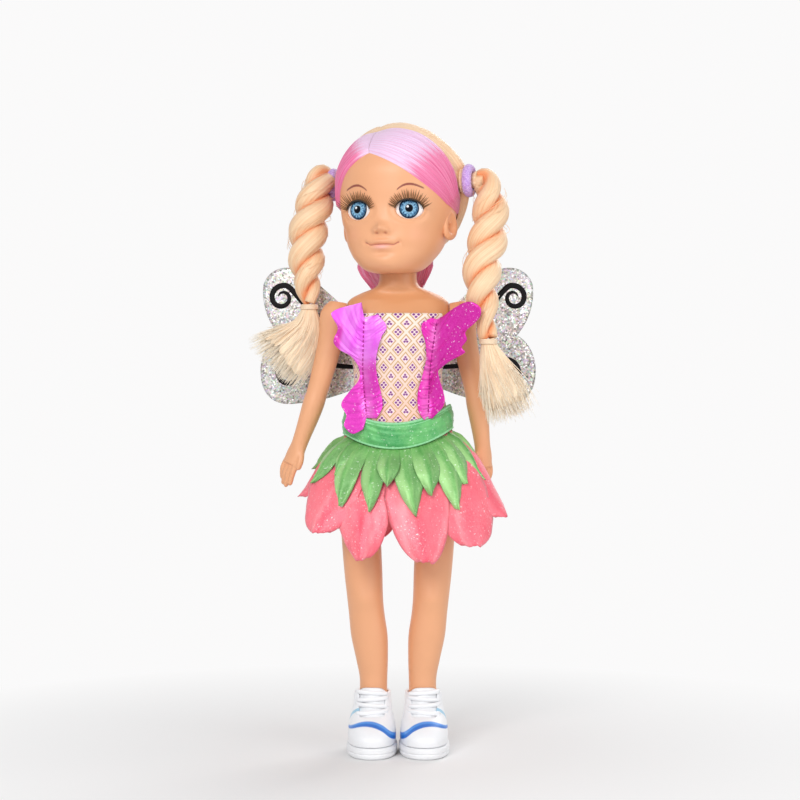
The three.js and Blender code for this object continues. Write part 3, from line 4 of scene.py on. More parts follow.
import bpy
import numpy as np
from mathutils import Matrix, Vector


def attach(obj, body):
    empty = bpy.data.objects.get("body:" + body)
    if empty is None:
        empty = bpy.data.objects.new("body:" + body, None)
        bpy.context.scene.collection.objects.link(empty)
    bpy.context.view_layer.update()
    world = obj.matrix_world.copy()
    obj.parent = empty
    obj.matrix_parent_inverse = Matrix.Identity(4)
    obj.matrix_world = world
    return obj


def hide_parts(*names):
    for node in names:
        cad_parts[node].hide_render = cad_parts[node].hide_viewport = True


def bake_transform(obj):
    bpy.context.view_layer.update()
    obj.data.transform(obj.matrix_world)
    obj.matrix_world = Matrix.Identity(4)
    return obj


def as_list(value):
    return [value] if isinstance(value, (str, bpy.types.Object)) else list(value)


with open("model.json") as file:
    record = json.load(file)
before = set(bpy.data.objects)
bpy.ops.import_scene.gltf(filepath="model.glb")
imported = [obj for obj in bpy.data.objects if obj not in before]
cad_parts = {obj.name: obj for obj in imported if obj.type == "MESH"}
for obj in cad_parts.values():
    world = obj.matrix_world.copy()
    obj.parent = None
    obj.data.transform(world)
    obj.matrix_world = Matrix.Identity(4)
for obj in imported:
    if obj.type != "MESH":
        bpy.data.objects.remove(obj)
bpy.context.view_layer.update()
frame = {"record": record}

MM = 0.001
JOINTS = {j["name"]: np.array(j["pos_m"]) * 1000 for j in frame["record"]["behaviour"]["joints"]}
AXIS = JOINTS["head_turn"]
SEAT_Z = AXIS[2]
SHOULDER_Z, HIP_Z = JOINTS["shoulder_left"][2], JOINTS["hip_left"][2]
TRUNK_LENGTH = SHOULDER_Z - HIP_Z
SIDES = {-1: "right", 1: "left"}
RNG = np.random.default_rng(7)

# Sizes shared with the solids
TOUCH_GAP = 0.3
SHOULDER_PLANE, NECK_HALF, PELVIS_HALF = 34, 12.8, 11
HIP_CUT = HIP_Z + 17.8
HEAD_TURN = math.radians(-16)
CHIN_DROP, CROWN_RISE = 6.3, 91
EYE_X, EYE_Y, EYE_Z = 17.4, -28.4, 34
EYE_BALL_X = EYE_X - 1.9
EYE_SIZE = (11.6, 7, 8.8)
EYE_TOE = math.radians(17)
LID_WIDE, LID_UP, LID_DOWN, LID_DEEP = 8.7, 6.3, 6.4, 6.0
# The ears, keyed by side: the doll's right one lies closer to the head and further back
EAR = {-1: (35.2, 0.6, 26.5), 1: (36.1, -2, 26.5)}
EAR_TURN = {-1: math.radians(8), 1: math.radians(15)}
EAR_SIZE = (2.9, 9.0, 10.8)
EAR_LEAN = math.radians(12)
TIE = (47.4, 7, 56)
BAND_LOW = HIP_CUT + 0.7
BAND_TOP = BAND_LOW + 15.5
BODICE_LOW, BODICE_TOP = BAND_TOP - 6, SHOULDER_Z + 1
CLOTH_OUT = 2.0
WING_ROOT = SHOULDER_Z - 28
SOLE, SHOE_OUT = 7.4, 17.3


# Numbers and spaces

def shares(count):
    return np.linspace(0, 1, count)


def full_turn(count):
    return np.linspace(0, 2 * np.pi, count, endpoint=False)


def stacked(*parts):
    """Coordinates put together, one row a point."""
    return np.stack(np.broadcast_arrays(*parts), -1)


def turned(a, b, angle):
    c, s = math.cos(angle), math.sin(angle)
    return c * a - s * b, s * a + c * b


def in_head(points):
    """Points measured from the seat of the head, turned and lifted with it."""
    p = np.asarray(points, float)
    x, y = turned(p[..., 0], p[..., 1], HEAD_TURN)
    return stacked(x, y, p[..., 2] + SEAT_Z)


def in_row(points):
    """Points of the doll, in millimetres, in the frame's own metres."""
    p = np.asarray(points, float).reshape(-1, 3)
    return (p + [AXIS[0], AXIS[1], 0]) * MM


# Curves and sections

def smooth(x, low=0.0, high=1.0):
    """A soft step from 0 at low to 1 at high."""
    t = np.clip((np.asarray(x, float) - low) / (high - low), 0, 1)
    return t * t * (3 - 2 * t)


def bump(x, z, cx, cz, sx, sz):
    """A round swell of height 1 about a middle, by its spread in x and z."""
    return np.exp(-(((x - cx) / sx) ** 2) - ((z - cz) / sz) ** 2)


def signed_power(v, n):
    return np.sign(v) * np.abs(v) ** n


def unit(v):
    v = np.asarray(v, float)
    return v / np.linalg.norm(v, axis=-1, keepdims=True)


def cubic(table, level):
    """Every column of a table at a level of its first column, by cubics through the rows."""
    rows = np.asarray(table, float)
    last = len(rows) - 1
    i = int(np.clip(np.searchsorted(rows[:, 0], level) - 1, 0, last - 1))
    a, b = rows[i], rows[i + 1]
    before, after = rows[max(i - 1, 0)], rows[min(i + 2, last)]
    span = b[0] - a[0]
    t = min(max((level - a[0]) / span, 0), 1)
    m0 = (b - before) / (b[0] - before[0]) * span
    m1 = (after - a) / (after[0] - a[0]) * span
    made = (2 * t**3 - 3 * t**2 + 1) * a + (t**3 - 2 * t**2 + t) * m0
    return (made + (3 * t**2 - 2 * t**3) * b + (t**3 - t**2) * m1)[1:]


def through(table, levels):
    """The cubics of a table at each level, one row a level."""
    return np.array([cubic(table, v) for v in np.atleast_1d(levels)])


def between(at, known, values):
    """Every column of values, known at rising places, read in between."""
    return np.stack([np.interp(at, known, column) for column in values.T], -1)


def run_length(points):
    """Length along a row of points, from its start."""
    steps = np.linalg.norm(np.diff(points, axis=0), axis=1)
    return np.concatenate([[0], np.cumsum(steps)])


def path_through(points, count):
    """Evenly spaced points on a smooth curve through the given ones."""
    p = np.asarray(points, float)
    knots = run_length(p)
    fine = through(np.column_stack([knots, p]), np.linspace(0, knots[-1], 400))
    run = run_length(fine)
    return between(np.linspace(0, run[-1], count), run, fine)


def frames_along(path, first):
    """Normal and binormal at each point, carried along the path without twisting."""
    tangent = unit(np.gradient(path, axis=0))
    normal = np.zeros_like(path)
    n = np.asarray(first, float)
    for i, t in enumerate(tangent):
        n = n - t * n.dot(t)
        n /= np.linalg.norm(n)
        normal[i] = n
    return normal, np.cross(tangent, normal)


def wave(x, seed):
    """Smooth noise of one variable, about -1 to 1."""
    rng = np.random.default_rng(seed)
    total = np.zeros_like(np.asarray(x, float))
    for k in range(4):
        stretch, shift = 1.9**k * (1 + 0.3 * rng.random()), rng.random() * 6.3
        total = total + np.sin(x * stretch + shift) / 1.35**k
    return total / 2.2


class Loft:
    """Level sections: height, then middle x and y, half width, and reach to front and back."""

    def __init__(self, table, squareness=2.0):
        self.low, self.high = table[0][0], table[-1][0]
        self.levels = np.linspace(self.low, self.high, 600)
        self.fields = through(table, self.levels)
        self.squareness = squareness

    def at(self, z):
        return [np.interp(z, self.levels, field) for field in self.fields.T]

    def point(self, turn, z, grow=0.0):
        """A place on the grown surface: radians round from the front, and height."""
        turn, z = np.broadcast_arrays(np.asarray(turn, float), np.asarray(z, float))
        x, y, wide, front, back = self.at(z)
        across = signed_power(np.sin(turn), 2 / self.squareness)
        ahead = signed_power(np.cos(turn), 2 / self.squareness)
        reach = np.where(ahead > 0, front, back) + grow
        return stacked(x + (wide + grow) * across, y - reach * ahead, z)

    def rings(self, count, rows, low, high, grow=0.0):
        """A grid of rings from one height to another."""
        return self.point(full_turn(count)[None], np.linspace(low, high, rows)[:, None], grow)

    def front(self, x, z, grow=0.0):
        """How far forward the grown surface is at a place across it."""
        middle, y, wide, front, _ = self.at(np.asarray(z, float))
        share = np.clip(np.abs(np.asarray(x, float) - middle) / (wide + grow), 0, 0.97)
        return y - (front + grow) * (1 - share**self.squareness) ** (1 / self.squareness)


TRUNK = Loft([
    [HIP_Z + 4, 0, 1, 33.2, 22, 24],
    [HIP_Z + 20, 0, 1, 33.2, 23, 24],
    [HIP_Z + 0.34 * TRUNK_LENGTH, 0, 1, 31.8, 23, 22],
    [HIP_Z + 0.48 * TRUNK_LENGTH, 0, 0.5, 29.2, 21, 20],
    [HIP_Z + 0.61 * TRUNK_LENGTH, 0, 0, 27.6, 20, 19.5],
    [HIP_Z + 0.74 * TRUNK_LENGTH, 0, 0, 29.4, 21.5, 20],
    [HIP_Z + 0.87 * TRUNK_LENGTH, 0, 0, 32, 22.5, 21],
    [SHOULDER_Z - 1, 0, 0, 35.5, 20, 20],
    [SHOULDER_Z + 7, 0, 0, 34.6, 16.5, 18],
    [SHOULDER_Z + 11.5, 0, 0.5, 31.6, 14, 15.6],
    [SHOULDER_Z + 15.5, 0, 1, 24, 12.8, 14],
    [SHOULDER_Z + 18.5, 0, 0.6, 16.4, 13.4, 13.6],
    [SHOULDER_Z + 23, 0, 0, NECK_HALF, NECK_HALF, NECK_HALF],
    [SEAT_Z, 0, 0, NECK_HALF, NECK_HALF, NECK_HALF],
], 2.25)
HEAD = Loft([
    [-CHIN_DROP, 0, -14, 11, 17, 14],
    [-4.6, 0, -12, 17, 22, 20],
    [-1.6, 0, -10, 21.3, 26.5, 25],
    [3.5, 0, -9, 26, 29, 29],
    [9, 0, -6, 29.6, 32, 32],
    [14, 0, -3.5, 31.8, 35.3, 33],
    [20, 0, 0, 33.5, 38.8, 35],
    [28, 0, 3, 36.5, 42.3, 37],
    [38, 0, 5, 38.5, 44, 38],
    [50, 0, 5, 39.5, 44.5, 39],
    [62, 0, 4, 38, 43, 39],
    [74, 0, 3, 32, 36.5, 34],
    [83, 0, 2, 23, 26, 26],
    [88.5, 0, 2, 12.5, 14, 14],
    [CROWN_RISE, 0, 2, 4, 4, 4],
], 2.25)


# Meshes

# A grid left open, joined round, or joined round with both ends shut
OPEN, TUBE, CLOSED = range(3)


def put(name, data):
    obj = bpy.data.objects.new(name, data)
    bpy.context.scene.collection.objects.link(obj)
    return obj


def shade_smooth(mesh):
    mesh.polygons.foreach_set("use_smooth", [True] * len(mesh.polygons))


def lay_paint(mesh, values=None):
    """Colour and cover of the painted details, one row a point; bare where none is given."""
    values = np.zeros((len(mesh.vertices), 4)) if values is None else values
    layer = mesh.attributes.get("paint") or mesh.attributes.new("paint", "FLOAT_COLOR", "POINT")
    layer.data.foreach_set("color", np.asarray(values, np.float32).ravel())


def mesh_object(name, points, faces, material, uv=None, paint=None):
    """A smooth shaded object from points of the doll; uv and paint hold one row a point."""
    mesh = bpy.data.meshes.new(name)
    mesh.from_pydata(in_row(points).tolist(), [], faces)
    shade_smooth(mesh)
    if uv is not None:
        corner = np.zeros(len(mesh.loops), int)
        mesh.loops.foreach_get("vertex_index", corner)
        layer = mesh.uv_layers.new(name="map")
        layer.data.foreach_set("uv", np.asarray(uv, np.float32).reshape(-1, 2)[corner].ravel())
    lay_paint(mesh, paint)
    mesh.update()
    mesh.materials.append(material)
    return put(name, mesh)


def grid_faces(rows, cols, form, start=0):
    i, j = np.meshgrid(np.arange(rows - 1), np.arange(cols - (form == OPEN)), indexing="ij")
    k = (j + 1) % cols
    quads = np.stack([i * cols + j, i * cols + k, (i + 1) * cols + k, (i + 1) * cols + j], -1)
    faces = (quads.reshape(-1, 4) + start).tolist()
    if form == CLOSED:
        faces.append([start + n for n in range(cols)][::-1])
        faces.append([start + (rows - 1) * cols + n for n in range(cols)])
    return faces


def grid_object(name, grid, material, form=OPEN, uv=None, paint=None):
    faces = grid_faces(*grid.shape[:2], form)
    return mesh_object(name, grid.reshape(-1, 3), faces, material, uv, paint)


class Bundle:
    """Several grids gathered in one mesh."""

    def __init__(self):
        self.points, self.faces, self.uv, self.paint = [], [], [], []
        self.count = 0

    def add(self, grid, form=OPEN, uv=None, paint=None):
        rows, cols = grid.shape[:2]
        n = rows * cols
        self.points.append(grid.reshape(n, 3))
        self.faces += grid_faces(rows, cols, form, self.count)
        self.uv.append(np.zeros((n, 2)) if uv is None else uv.reshape(n, 2))
        self.paint.append(np.zeros((n, 4)) if paint is None else paint.reshape(n, 4))
        self.count += n

    def build(self, name, material):
        points, uv, paint = (np.concatenate(v) for v in (self.points, self.uv, self.paint))
        return mesh_object(name, points, self.faces, material, uv, paint)


UPRIGHT = (0, 0, 1)


def tube_grid(path, radius, sides, first=(0.31, -0.95, 0.1), depth=None):
    """Rings round a path; radius, and depth where they are flat, can have one value a point."""
    normal, binormal = frames_along(path, first)
    turn = full_turn(sides)[None, :, None]
    wide, deep = (
        np.broadcast_to(np.asarray(r, float), (len(path),))[:, None, None]
        for r in (radius, radius if depth is None else depth)
    )
    across, behind = np.cos(turn) * normal[:, None] * wide, np.sin(turn) * binormal[:, None] * deep
    return path[:, None] + across + behind


def settle(obj, *modifiers):
    """Applies modifiers, each given as its kind and settings, to a new mesh of the object."""
    for kind, settings in modifiers:
        made = obj.modifiers.new(kind.title(), kind)
        for key, value in settings.items():
            setattr(made, key, value)
    graph = bpy.context.evaluated_depsgraph_get()
    mesh = bpy.data.meshes.new_from_object(obj.evaluated_get(graph), depsgraph=graph)
    obj.modifiers.clear()
    obj.data = mesh
    shade_smooth(mesh)
    return obj


def moulded(obj, voxel_mm, rounds):
    """Fuses closed parts of an object into one softly rounded skin."""
    remesh = {"mode": "VOXEL", "voxel_size": voxel_mm * MM}
    return settle(obj, ("REMESH", remesh), ("SMOOTH", {"factor": 0.5, "iterations": rounds}))


def thicken(obj, thickness_mm):
    made = obj.modifiers.new("Thickness", "SOLIDIFY")
    made.thickness = thickness_mm * MM
    made.offset = 0
    return obj


def wear(obj, body, slot, *nodes):
    """Fixes a piece to a body and hides the solids that it stands for; the slot for its finish is not
    used.
    """
    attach(obj, body)
    if nodes:
        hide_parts(*nodes)


def bend(obj, node, start, end):
    """Hides the solid that a soft piece stands for and bakes its placement; start and end are not
    used.
    """
    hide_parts(node)
    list(map(tuple, in_row([start, end])))
    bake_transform(obj)


def declare(obj, width_mm, length_mm, held, rests_on, area_mm2=None):
    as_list(rests_on)


# Materials

class Nodes:
    """Short ways to add and link the nodes of a tree."""

    def __init__(self, tree):
        self.tree = tree

    def feed(self, socket, value):
        if isinstance(value, bpy.types.NodeSocket):
            self.tree.links.new(value, socket)
        elif isinstance(value, (tuple, list)) and socket.type == "RGBA":
            socket.default_value = (*value[:3], 1)
        else:
            socket.default_value = value

    def node(self, kind, inputs=None, **settings):
        made = self.tree.nodes.new("ShaderNode" + kind)
        for key, value in settings.items():
            setattr(made, key, value)
        for key, value in (inputs or {}).items():
            self.feed(made.inputs[key], value)
        return made

    def math(self, operation, a, b=0.0):
        return self.node("Math", {0: a, 1: b}, operation=operation).outputs[0]

    def times(self, a, b):
        return self.math("MULTIPLY", a, b)

    def plus(self, a, b):
        return self.math("ADD", a, b)

    def squares(self, a, b):
        return self.plus(self.times(a, a), self.times(b, b))

    def mix(self, share, a, b):
        made = self.node("Mix", data_type="RGBA")
        for index, value in ((0, share), (6, a), (7, b)):
            self.feed(made.inputs[index], value)
        return made.outputs[2]

    def range(self, value, low, high, to_low=0.0, to_high=1.0):
        return self.node("MapRange", {0: value, 1: low, 2: high, 3: to_low, 4: to_high}).outputs[0]

    def scaled(self, vector, scale):
        return self.node("VectorMath", {0: vector, 1: scale}, operation="MULTIPLY").outputs[0]

    def uv(self, sx=1.0, sy=1.0):
        """The piece's own map, stretched."""
        return self.scaled(self.node("UVMap", uv_map="map").outputs[0], (sx, sy, 1))

    def place(self, per_mm=1.0):
        """Object coordinates, counted in millimetres times per_mm."""
        return self.scaled(self.node("TexCoord").outputs["Object"], (1000 * per_mm,) * 3)

    def noise(self, vector, detail=2.0, scale=1.0):
        return self.node("TexNoise", {"Vector": vector, "Scale": scale, "Detail": detail}).outputs[0]

    def cells(self, vector, scale=1.0):
        return self.node("TexVoronoi", {"Vector": vector, "Scale": scale}).outputs

    def paint(self):
        return self.node("Attribute", attribute_name="paint").outputs

    def seen(self):
        """1 for rays that show the background: from the camera, a gloss or a clear piece."""
        rays = self.node("LightPath").outputs
        most = self.math("MAXIMUM", rays["Is Camera Ray"], rays["Is Glossy Ray"])
        return self.math("MAXIMUM", most, rays["Is Transmission Ray"])


class Shader(Nodes):
    """A procedural material built round one Principled shader."""

    def __init__(self, name, **sockets):
        self.material = bpy.data.materials.new(name)
        self.material.use_nodes = True
        super().__init__(self.material.node_tree)
        self.base = self.tree.nodes["Principled BSDF"]
        for key, value in sockets.items():
            self.feed(self.base.inputs[key.replace("_", " ")], value)

    def bump(self, height, strength, distance_mm):
        inputs = {"Height": height, "Strength": strength, "Distance": distance_mm * MM}
        self.feed(self.base.inputs["Normal"], self.node("Bump", inputs).outputs[0])

    def colour(self, value):
        self.feed(self.base.inputs["Base Color"], value)

    def painted(self, ground):
        """The paint attribute over a ground colour, by its cover."""
        paint = self.paint()
        return self.mix(paint["Alpha"], ground, paint["Color"])


def painted_vinyl(name, colour, roughness, mottling):
    """Moulded vinyl with painted details carried by the paint attribute."""
    made = Shader(name, Roughness=roughness)
    darker = tuple(c * (1 - mottling) for c in colour)
    made.colour(made.painted(made.mix(made.noise(made.place(0.06), 3), darker, colour)))
    made.bump(made.noise(made.place(1.6), 2), 0.12, 0.12)
    return made.material


def hair_material(name, deep, pale, painted_highlight=None):
    """Combed hair: streaks run along the strands, paler where they stand out; the paint's value lays a
    painted highlight.
    """
    made = Shader(name, Roughness=0.36, Anisotropic=0.5, Specular_IOR_Level=0.45, Sheen_Weight=0.15)
    fine, broad = made.noise(made.uv(2.6, 0.012), 2), made.noise(made.uv(0.55, 0.02), 2)
    streak = made.plus(made.times(fine, 0.55), made.times(broad, 0.45))
    tone = made.mix(made.range(streak, 0.32, 0.62), deep, pale)
    # A painted highlight, laid where the paint's value says
    if painted_highlight:
        tone = made.mix(made.times(made.paint()["Fac"], 0.9), tone, painted_highlight)
    made.colour(made.painted(tone))
    made.bump(fine, 0.55, 0.5)
    return made.material


FLAKES_PER_MM = 1.5


def glitter(made, ground, spark, bare):
    """Glitter flakes of random brightness over a ground colour; bare is the share without."""
    tone = made.node("SeparateColor", {0: made.cells(made.uv(), FLAKES_PER_MM)["Color"]}).outputs
    soft = made.mix(made.range(tone[1], 0, 1, 0.0, 0.22), ground, spark)
    bright = tuple(min(1, c * 0.35 + 0.65) for c in spark)
    return made.mix(made.range(tone[0], bare, 1.0), soft, bright)


def glitter_cloth(name, deep, pale, spark):
    """Satin cloth with a shot sheen and scattered glitter; the paint lays painted light and shade on
    its folds.
    """
    made = Shader(name, Roughness=0.4, Metallic=0.12, Sheen_Weight=0.25)
    fold = made.noise(made.uv(0.07, 0.04), 3)
    ground = made.painted(made.mix(made.range(fold, 0.35, 0.68), deep, pale))
    patch = made.range(made.noise(made.uv(0.05, 0.05), 2), 0.42, 0.7, 0.3, 1.0)
    made.colour(made.mix(patch, ground, glitter(made, ground, spark, 0.955)))
    weave = made.node("TexWave", {"Vector": made.uv(), "Scale": 1.2, "Distortion": 0.6})
    made.bump(weave.outputs["Fac"], 0.12, 0.15)
    return made.material


def wing_material():
    """Silver film with holographic glitter: pastel flakes at random brightness, darker in clouds of
    painted shade.
    """
    made = Shader("wing_glitter", Roughness=0.3, Metallic=0.55)
    tone = made.node("SeparateColor", {0: made.cells(made.place(0.95))["Color"]}).outputs
    hue = made.node("CombineColor", {0: tone[0], 1: 0.3, 2: 0.86}, mode="HSV").outputs[0]
    silver = made.mix(tone[1], (0.17, 0.155, 0.15), (0.93, 0.90, 0.87))
    # Darker silver for the clouds of painted shade
    shaded_silver = made.mix(tone[1], (0.05, 0.042, 0.036), (0.66, 0.59, 0.53))
    cloud = made.range(made.noise(made.place(0.045), 2), 0.4, 0.6)
    tinted = made.mix(made.range(tone[2], 0.3, 0.9, 0.1, 0.7), made.mix(cloud, shaded_silver, silver), hue)
    made.colour(made.mix(made.range(tone[1], 0.88, 0.94), tinted, (1, 1, 1)))
    made.bump(tone[2], 0.5, 0.25)
    return made.material


PUPIL_R, IRIS_R = 2.6, 6.6
GLINT_X, GLINT_Z = -0.9, 1.1


def eye_material():
    """Painted doll eye: pupil, streaked blue iris, dark rim, painted shade of the lid on the iris top,
    and a white glint.
    """
    made = Shader("eye_paint", Roughness=0.14, Specular_IOR_Level=0.08)
    x, z, _ = made.node("SeparateXYZ", {0: made.uv()}).outputs
    out = made.math("SQRT", made.squares(x, z))
    angle = made.math("ARCTAN2", z, x)
    ray = made.node("CombineXYZ", {0: made.times(angle, 2.6), 1: made.times(out, 0.5)}).outputs[0]
    streak = made.range(made.noise(ray, 3, 1.8), 0.40, 0.60)
    eye = made.mix(streak, (0.006, 0.05, 0.17), (0.24, 0.52, 0.74))
    eye = made.mix(made.range(out, PUPIL_R, 4.4, 0.5, 0.0), eye, (0.40, 0.66, 0.82))
    eye = made.mix(made.range(out, 4.7, 6.2), eye, (0.004, 0.016, 0.045))
    # Painted shade of the upper lid on the top of the iris
    eye = made.mix(made.range(z, 2.0, 6.0, 0.0, 0.6), eye, (0.006, 0.02, 0.05))
    eye = made.mix(made.range(out, IRIS_R - 0.15, IRIS_R + 0.15), eye, (0.90, 0.89, 0.90))
    eye = made.mix(made.range(out, PUPIL_R - 0.2, PUPIL_R + 0.2), (0.003, 0.004, 0.008), eye)
    spot = made.squares(made.plus(x, -GLINT_X), made.math("SUBTRACT", z, GLINT_Z))
    made.colour(made.mix(made.range(spot, 0.3, 0.8), (0.95, 0.97, 1), eye))
    return made.material


LOZENGE_PITCH = (9.4, 11.6)
LOZENGE_EDGE = 0.35
# Dots of the two printed sprigs: place in the lozenge and radius
SPRIGS = [
    [(-0.8, 0.5, 0.75), (0.8, 0.5, 0.75), (0, -0.95, 0.75)],
    [(0, 1.5, 0.8), (1.25, 0, 0.8), (-1.25, 0, 0.8), (0, -1.5, 0.8)],
]


def print_material():
    """Cream cotton with a lattice of gold outlined lozenges and violet sprigs of dots."""
    made = Shader("bodice_print", Roughness=0.8, Sheen_Weight=0.2)
    u, v, _ = made.node("SeparateXYZ", {0: made.uv()}).outputs
    wide, tall = LOZENGE_PITCH

    def off(value, pitch, shift):
        """Signed share of a pitch from the middle of the cell."""
        moved = made.math("DIVIDE", made.plus(value, shift), pitch)
        return made.math("SUBTRACT", made.math("FRACT", moved), 0.5)

    height = made.range(v, BODICE_LOW, BODICE_TOP)
    ground = made.mix(height, (0.90, 0.52, 0.42), (0.93, 0.84, 0.70))
    cloud = made.range(made.noise(made.uv(0.05, 0.05), 2), 0.4, 0.7, 0, 0.5)
    ground = made.mix(cloud, ground, (0.95, 0.70, 0.68))
    for half, sprig in zip((0, 0.5), SPRIGS):
        a, b = off(u, wide, half * wide), off(v, tall, half * tall)
        far = made.plus(made.math("ABSOLUTE", a), made.math("ABSOLUTE", b))
        inside = made.range(far, LOZENGE_EDGE - 0.05, LOZENGE_EDGE - 0.02, 1.0, 0.0)
        ground = made.mix(made.times(inside, 0.8), ground, (0.93, 0.74, 0.74))
        line = made.math("ABSOLUTE", made.math("SUBTRACT", far, LOZENGE_EDGE))
        gold = made.range(line, 0.03, 0.07, 1.0, 0.0)
        ground = made.mix(made.times(gold, 0.85), ground, (0.55, 0.32, 0.10))
        for du, dv, radius in sprig:
            a = made.times(off(u, wide, half * wide + du), wide)
            b = made.times(off(v, tall, half * tall + dv), tall)
            spot = made.range(made.squares(a, b), radius**2 * 0.6, radius**2 * 1.3, 1.0, 0.0)
            ground = made.mix(spot, ground, (0.20, 0.025, 0.24))
    made.colour(ground)
    made.bump(made.cells(made.uv(), 2.4)["Distance"], 0.25, 0.15)
    return made.material


def butterfly_material():
    """Lilac to magenta satin; the paint's alpha turns it to glitter, its colour is the dye with a
    painted highlight.
    """
    made = Shader("butterfly_satin", Roughness=0.36, Metallic=0.5, Sheen_Weight=0.08)
    paint = made.paint()
    dye_and_highlight = paint["Color"]
    silk = made.noise(made.uv(0.1, 0.03), 3)
    pale = made.mix(0.38, dye_and_highlight, (1.0, 0.60, 1.0))
    satin = made.mix(made.range(silk, 0.38, 0.66), dye_and_highlight, pale)
    made.colour(made.mix(paint["Alpha"], satin, glitter(made, dye_and_highlight, (0.90, 0.14, 0.66), 0.97)))
    made.bump(silk, 0.3, 0.6)
    return made.material


def piled(name, deep, pale, per_mm, strength, distance_mm, **sockets):
    """Cloth with a short pile of loops."""
    made = Shader(name, Roughness=0.9, **sockets)
    pile = made.cells(made.place(per_mm))["Distance"]
    made.colour(made.mix(pile, deep, pale))
    made.bump(pile, strength, distance_mm)
    return made.material


def plain(name, deep, pale, roughness, **sockets):
    made = Shader(name, Roughness=roughness, **sockets)
    grain = made.noise(made.place(0.8), 3)
    made.colour(made.mix(grain, deep, pale))
    made.bump(grain, 0.15, 0.2)
    return made.material


FLESH = (0.83, 0.405, 0.21)
# The trunk's own darker skin tone, and the painted shade under the chin that darkens the neck
BODY_FLESH, NECK_SHADE = (0.67, 0.305, 0.13), (0.56, 0.235, 0.105)
SHOE_WHITE = (0.91, 0.92, 0.94)
# Painted shade and painted light of the leaves and of the petals: dark, then pale
LEAF_LIT_AND_SHADED = (0.03, 0.20, 0.028), (0.38, 0.68, 0.25)
PETAL_LIT_AND_SHADED = (0.60, 0.025, 0.08), (1.0, 0.34, 0.38)
SKIN = painted_vinyl("vinyl_skin", FLESH, 0.42, 0.06)
SHOE = painted_vinyl("shoe_vinyl", SHOE_WHITE, 0.36, 0.03)
EYE_PAINT = eye_material()
LASH = plain("lash_fibre", (0.13, 0.052, 0.016), (0.27, 0.125, 0.042), 0.7)
LINER = plain("lid_liner", (0.004, 0.003, 0.003), (0.016, 0.010, 0.008), 0.6)
BLONDE = hair_material("blonde_hair", (0.84, 0.46, 0.23), (0.96, 0.72, 0.47))
# Pink hair; its third colour is a lavender painted highlight
PINK = hair_material("pink_hair", (0.74, 0.06, 0.23), (0.93, 0.30, 0.51), (0.88, 0.75, 0.98))
TERRY = piled(
    "terry_loops", (0.86, 0.62, 0.98), (0.42, 0.20, 0.66), 0.9, 0.8, 0.6, Sheen_Weight=0.5)
TAPE = piled("hook_tape", (0.80, 0.78, 0.74), (0.93, 0.92, 0.90), 1.4, 0.5, 0.4)
ELASTIC = plain("clear_elastic", (0.80, 0.58, 0.38), (0.92, 0.74, 0.55), 0.35)
PRINT = print_material()
SATIN = butterfly_material()
THREAD = plain("seam_thread", (0.33, 0.0, 0.20), (0.5, 0.02, 0.30), 0.8)
GREEN = glitter_cloth(
    "green_glitter_satin", (0.04, 0.33, 0.085), (0.15, 0.52, 0.15), (0.52, 0.92, 0.48))
LEAF = glitter_cloth(
    "leaf_glitter_satin", (0.065, 0.32, 0.05), (0.22, 0.53, 0.14), (0.62, 0.92, 0.46))
PETAL = glitter_cloth(
    "pink_glitter_organza", (0.84, 0.055, 0.115), (0.95, 0.135, 0.19), (1.0, 0.58, 0.60))
PIPING = plain("green_piping", (0.14, 0.50, 0.21), (0.42, 0.82, 0.46), 0.45)
WING = wing_material()
CURL = plain(
    "black_print", (0.004, 0.004, 0.005), (0.014, 0.012, 0.014), 0.55, Specular_IOR_Level=0.12)
RUBBER = plain("sole_rubber", (0.83, 0.84, 0.86), (0.91, 0.91, 0.92), 0.6)


def coat(shape, colour, cover):
    """Paint for every point: its colour and cover."""
    made = np.empty((*shape, 4))
    made[..., :3] = colour
    made[..., 3] = cover
    return made


class Paint:
    """Colours laid over each other, one row a point: red, green, blue and cover."""

    def __init__(self, shape, ground=FLESH):
        self.value = coat(shape, ground, 0)

    def lay(self, mask, colour):
        m = np.clip(mask, 0, 1)[..., None]
        self.value[..., :3] = self.value[..., :3] * (1 - m) + np.array(colour) * m
        self.value[..., 3:] = 1 - (1 - self.value[..., 3:]) * (1 - m)


# Head and face

MOUTH_Z, MOUTH_HALF = 11.2, 11.4
NOSE_Z, NOSE_OUT, NOSE_HALF, NOSE_BELOW, NOSE_ABOVE = 21.2, 5.0, 3.9, 2.9, 3.7
BROW_FROM, BROW_TO, BROW_Z = 10.3, 26.7, 46.3
LIP_LINE, LOWER_LIP, UPPER_LIP = (0.40, 0.10, 0.075), (0.97, 0.48, 0.46), (0.90, 0.36, 0.30)
LID_INK, LID_SHADE, BROW_INK = (0.012, 0.006, 0.004), (0.62, 0.26, 0.16), (0.20, 0.025, 0.022)


def mouth_line(x):
    return MOUTH_Z + 1.5 * smooth(np.abs(x), 7.5, MOUTH_HALF) - 0.35 * smooth(np.abs(x), 3, 8)


# Lips, chin, sides of the nose, nostrils, corners of the mouth, cheeks and temples:
# how far out, middle x and z, and spread in x and z; mirrored where they are off the middle
FACE_SWELLS = [
    (1.6, 0, MOUTH_Z + 2.0, 7.4, 1.8),
    (2.3, 0, MOUTH_Z - 2.2, 6.0, 1.9),
    (-0.9, 0, MOUTH_Z - 6.0, 7, 1.8),
    (1.5, 0, -1.0, 9, 4.4),
    (1.7, 4.6, NOSE_Z - 1.3, 1.7, 1.8),
    (-0.8, 2.6, NOSE_Z - 2.9, 1.1, 0.8),
    (-0.9, MOUTH_HALF + 0.4, MOUTH_Z + 1.2, 1.5, 1.7),
    (1.4, 20, 17, 10, 9),
    (2.0, 27, EYE_Z - 2, 7, 10),
]
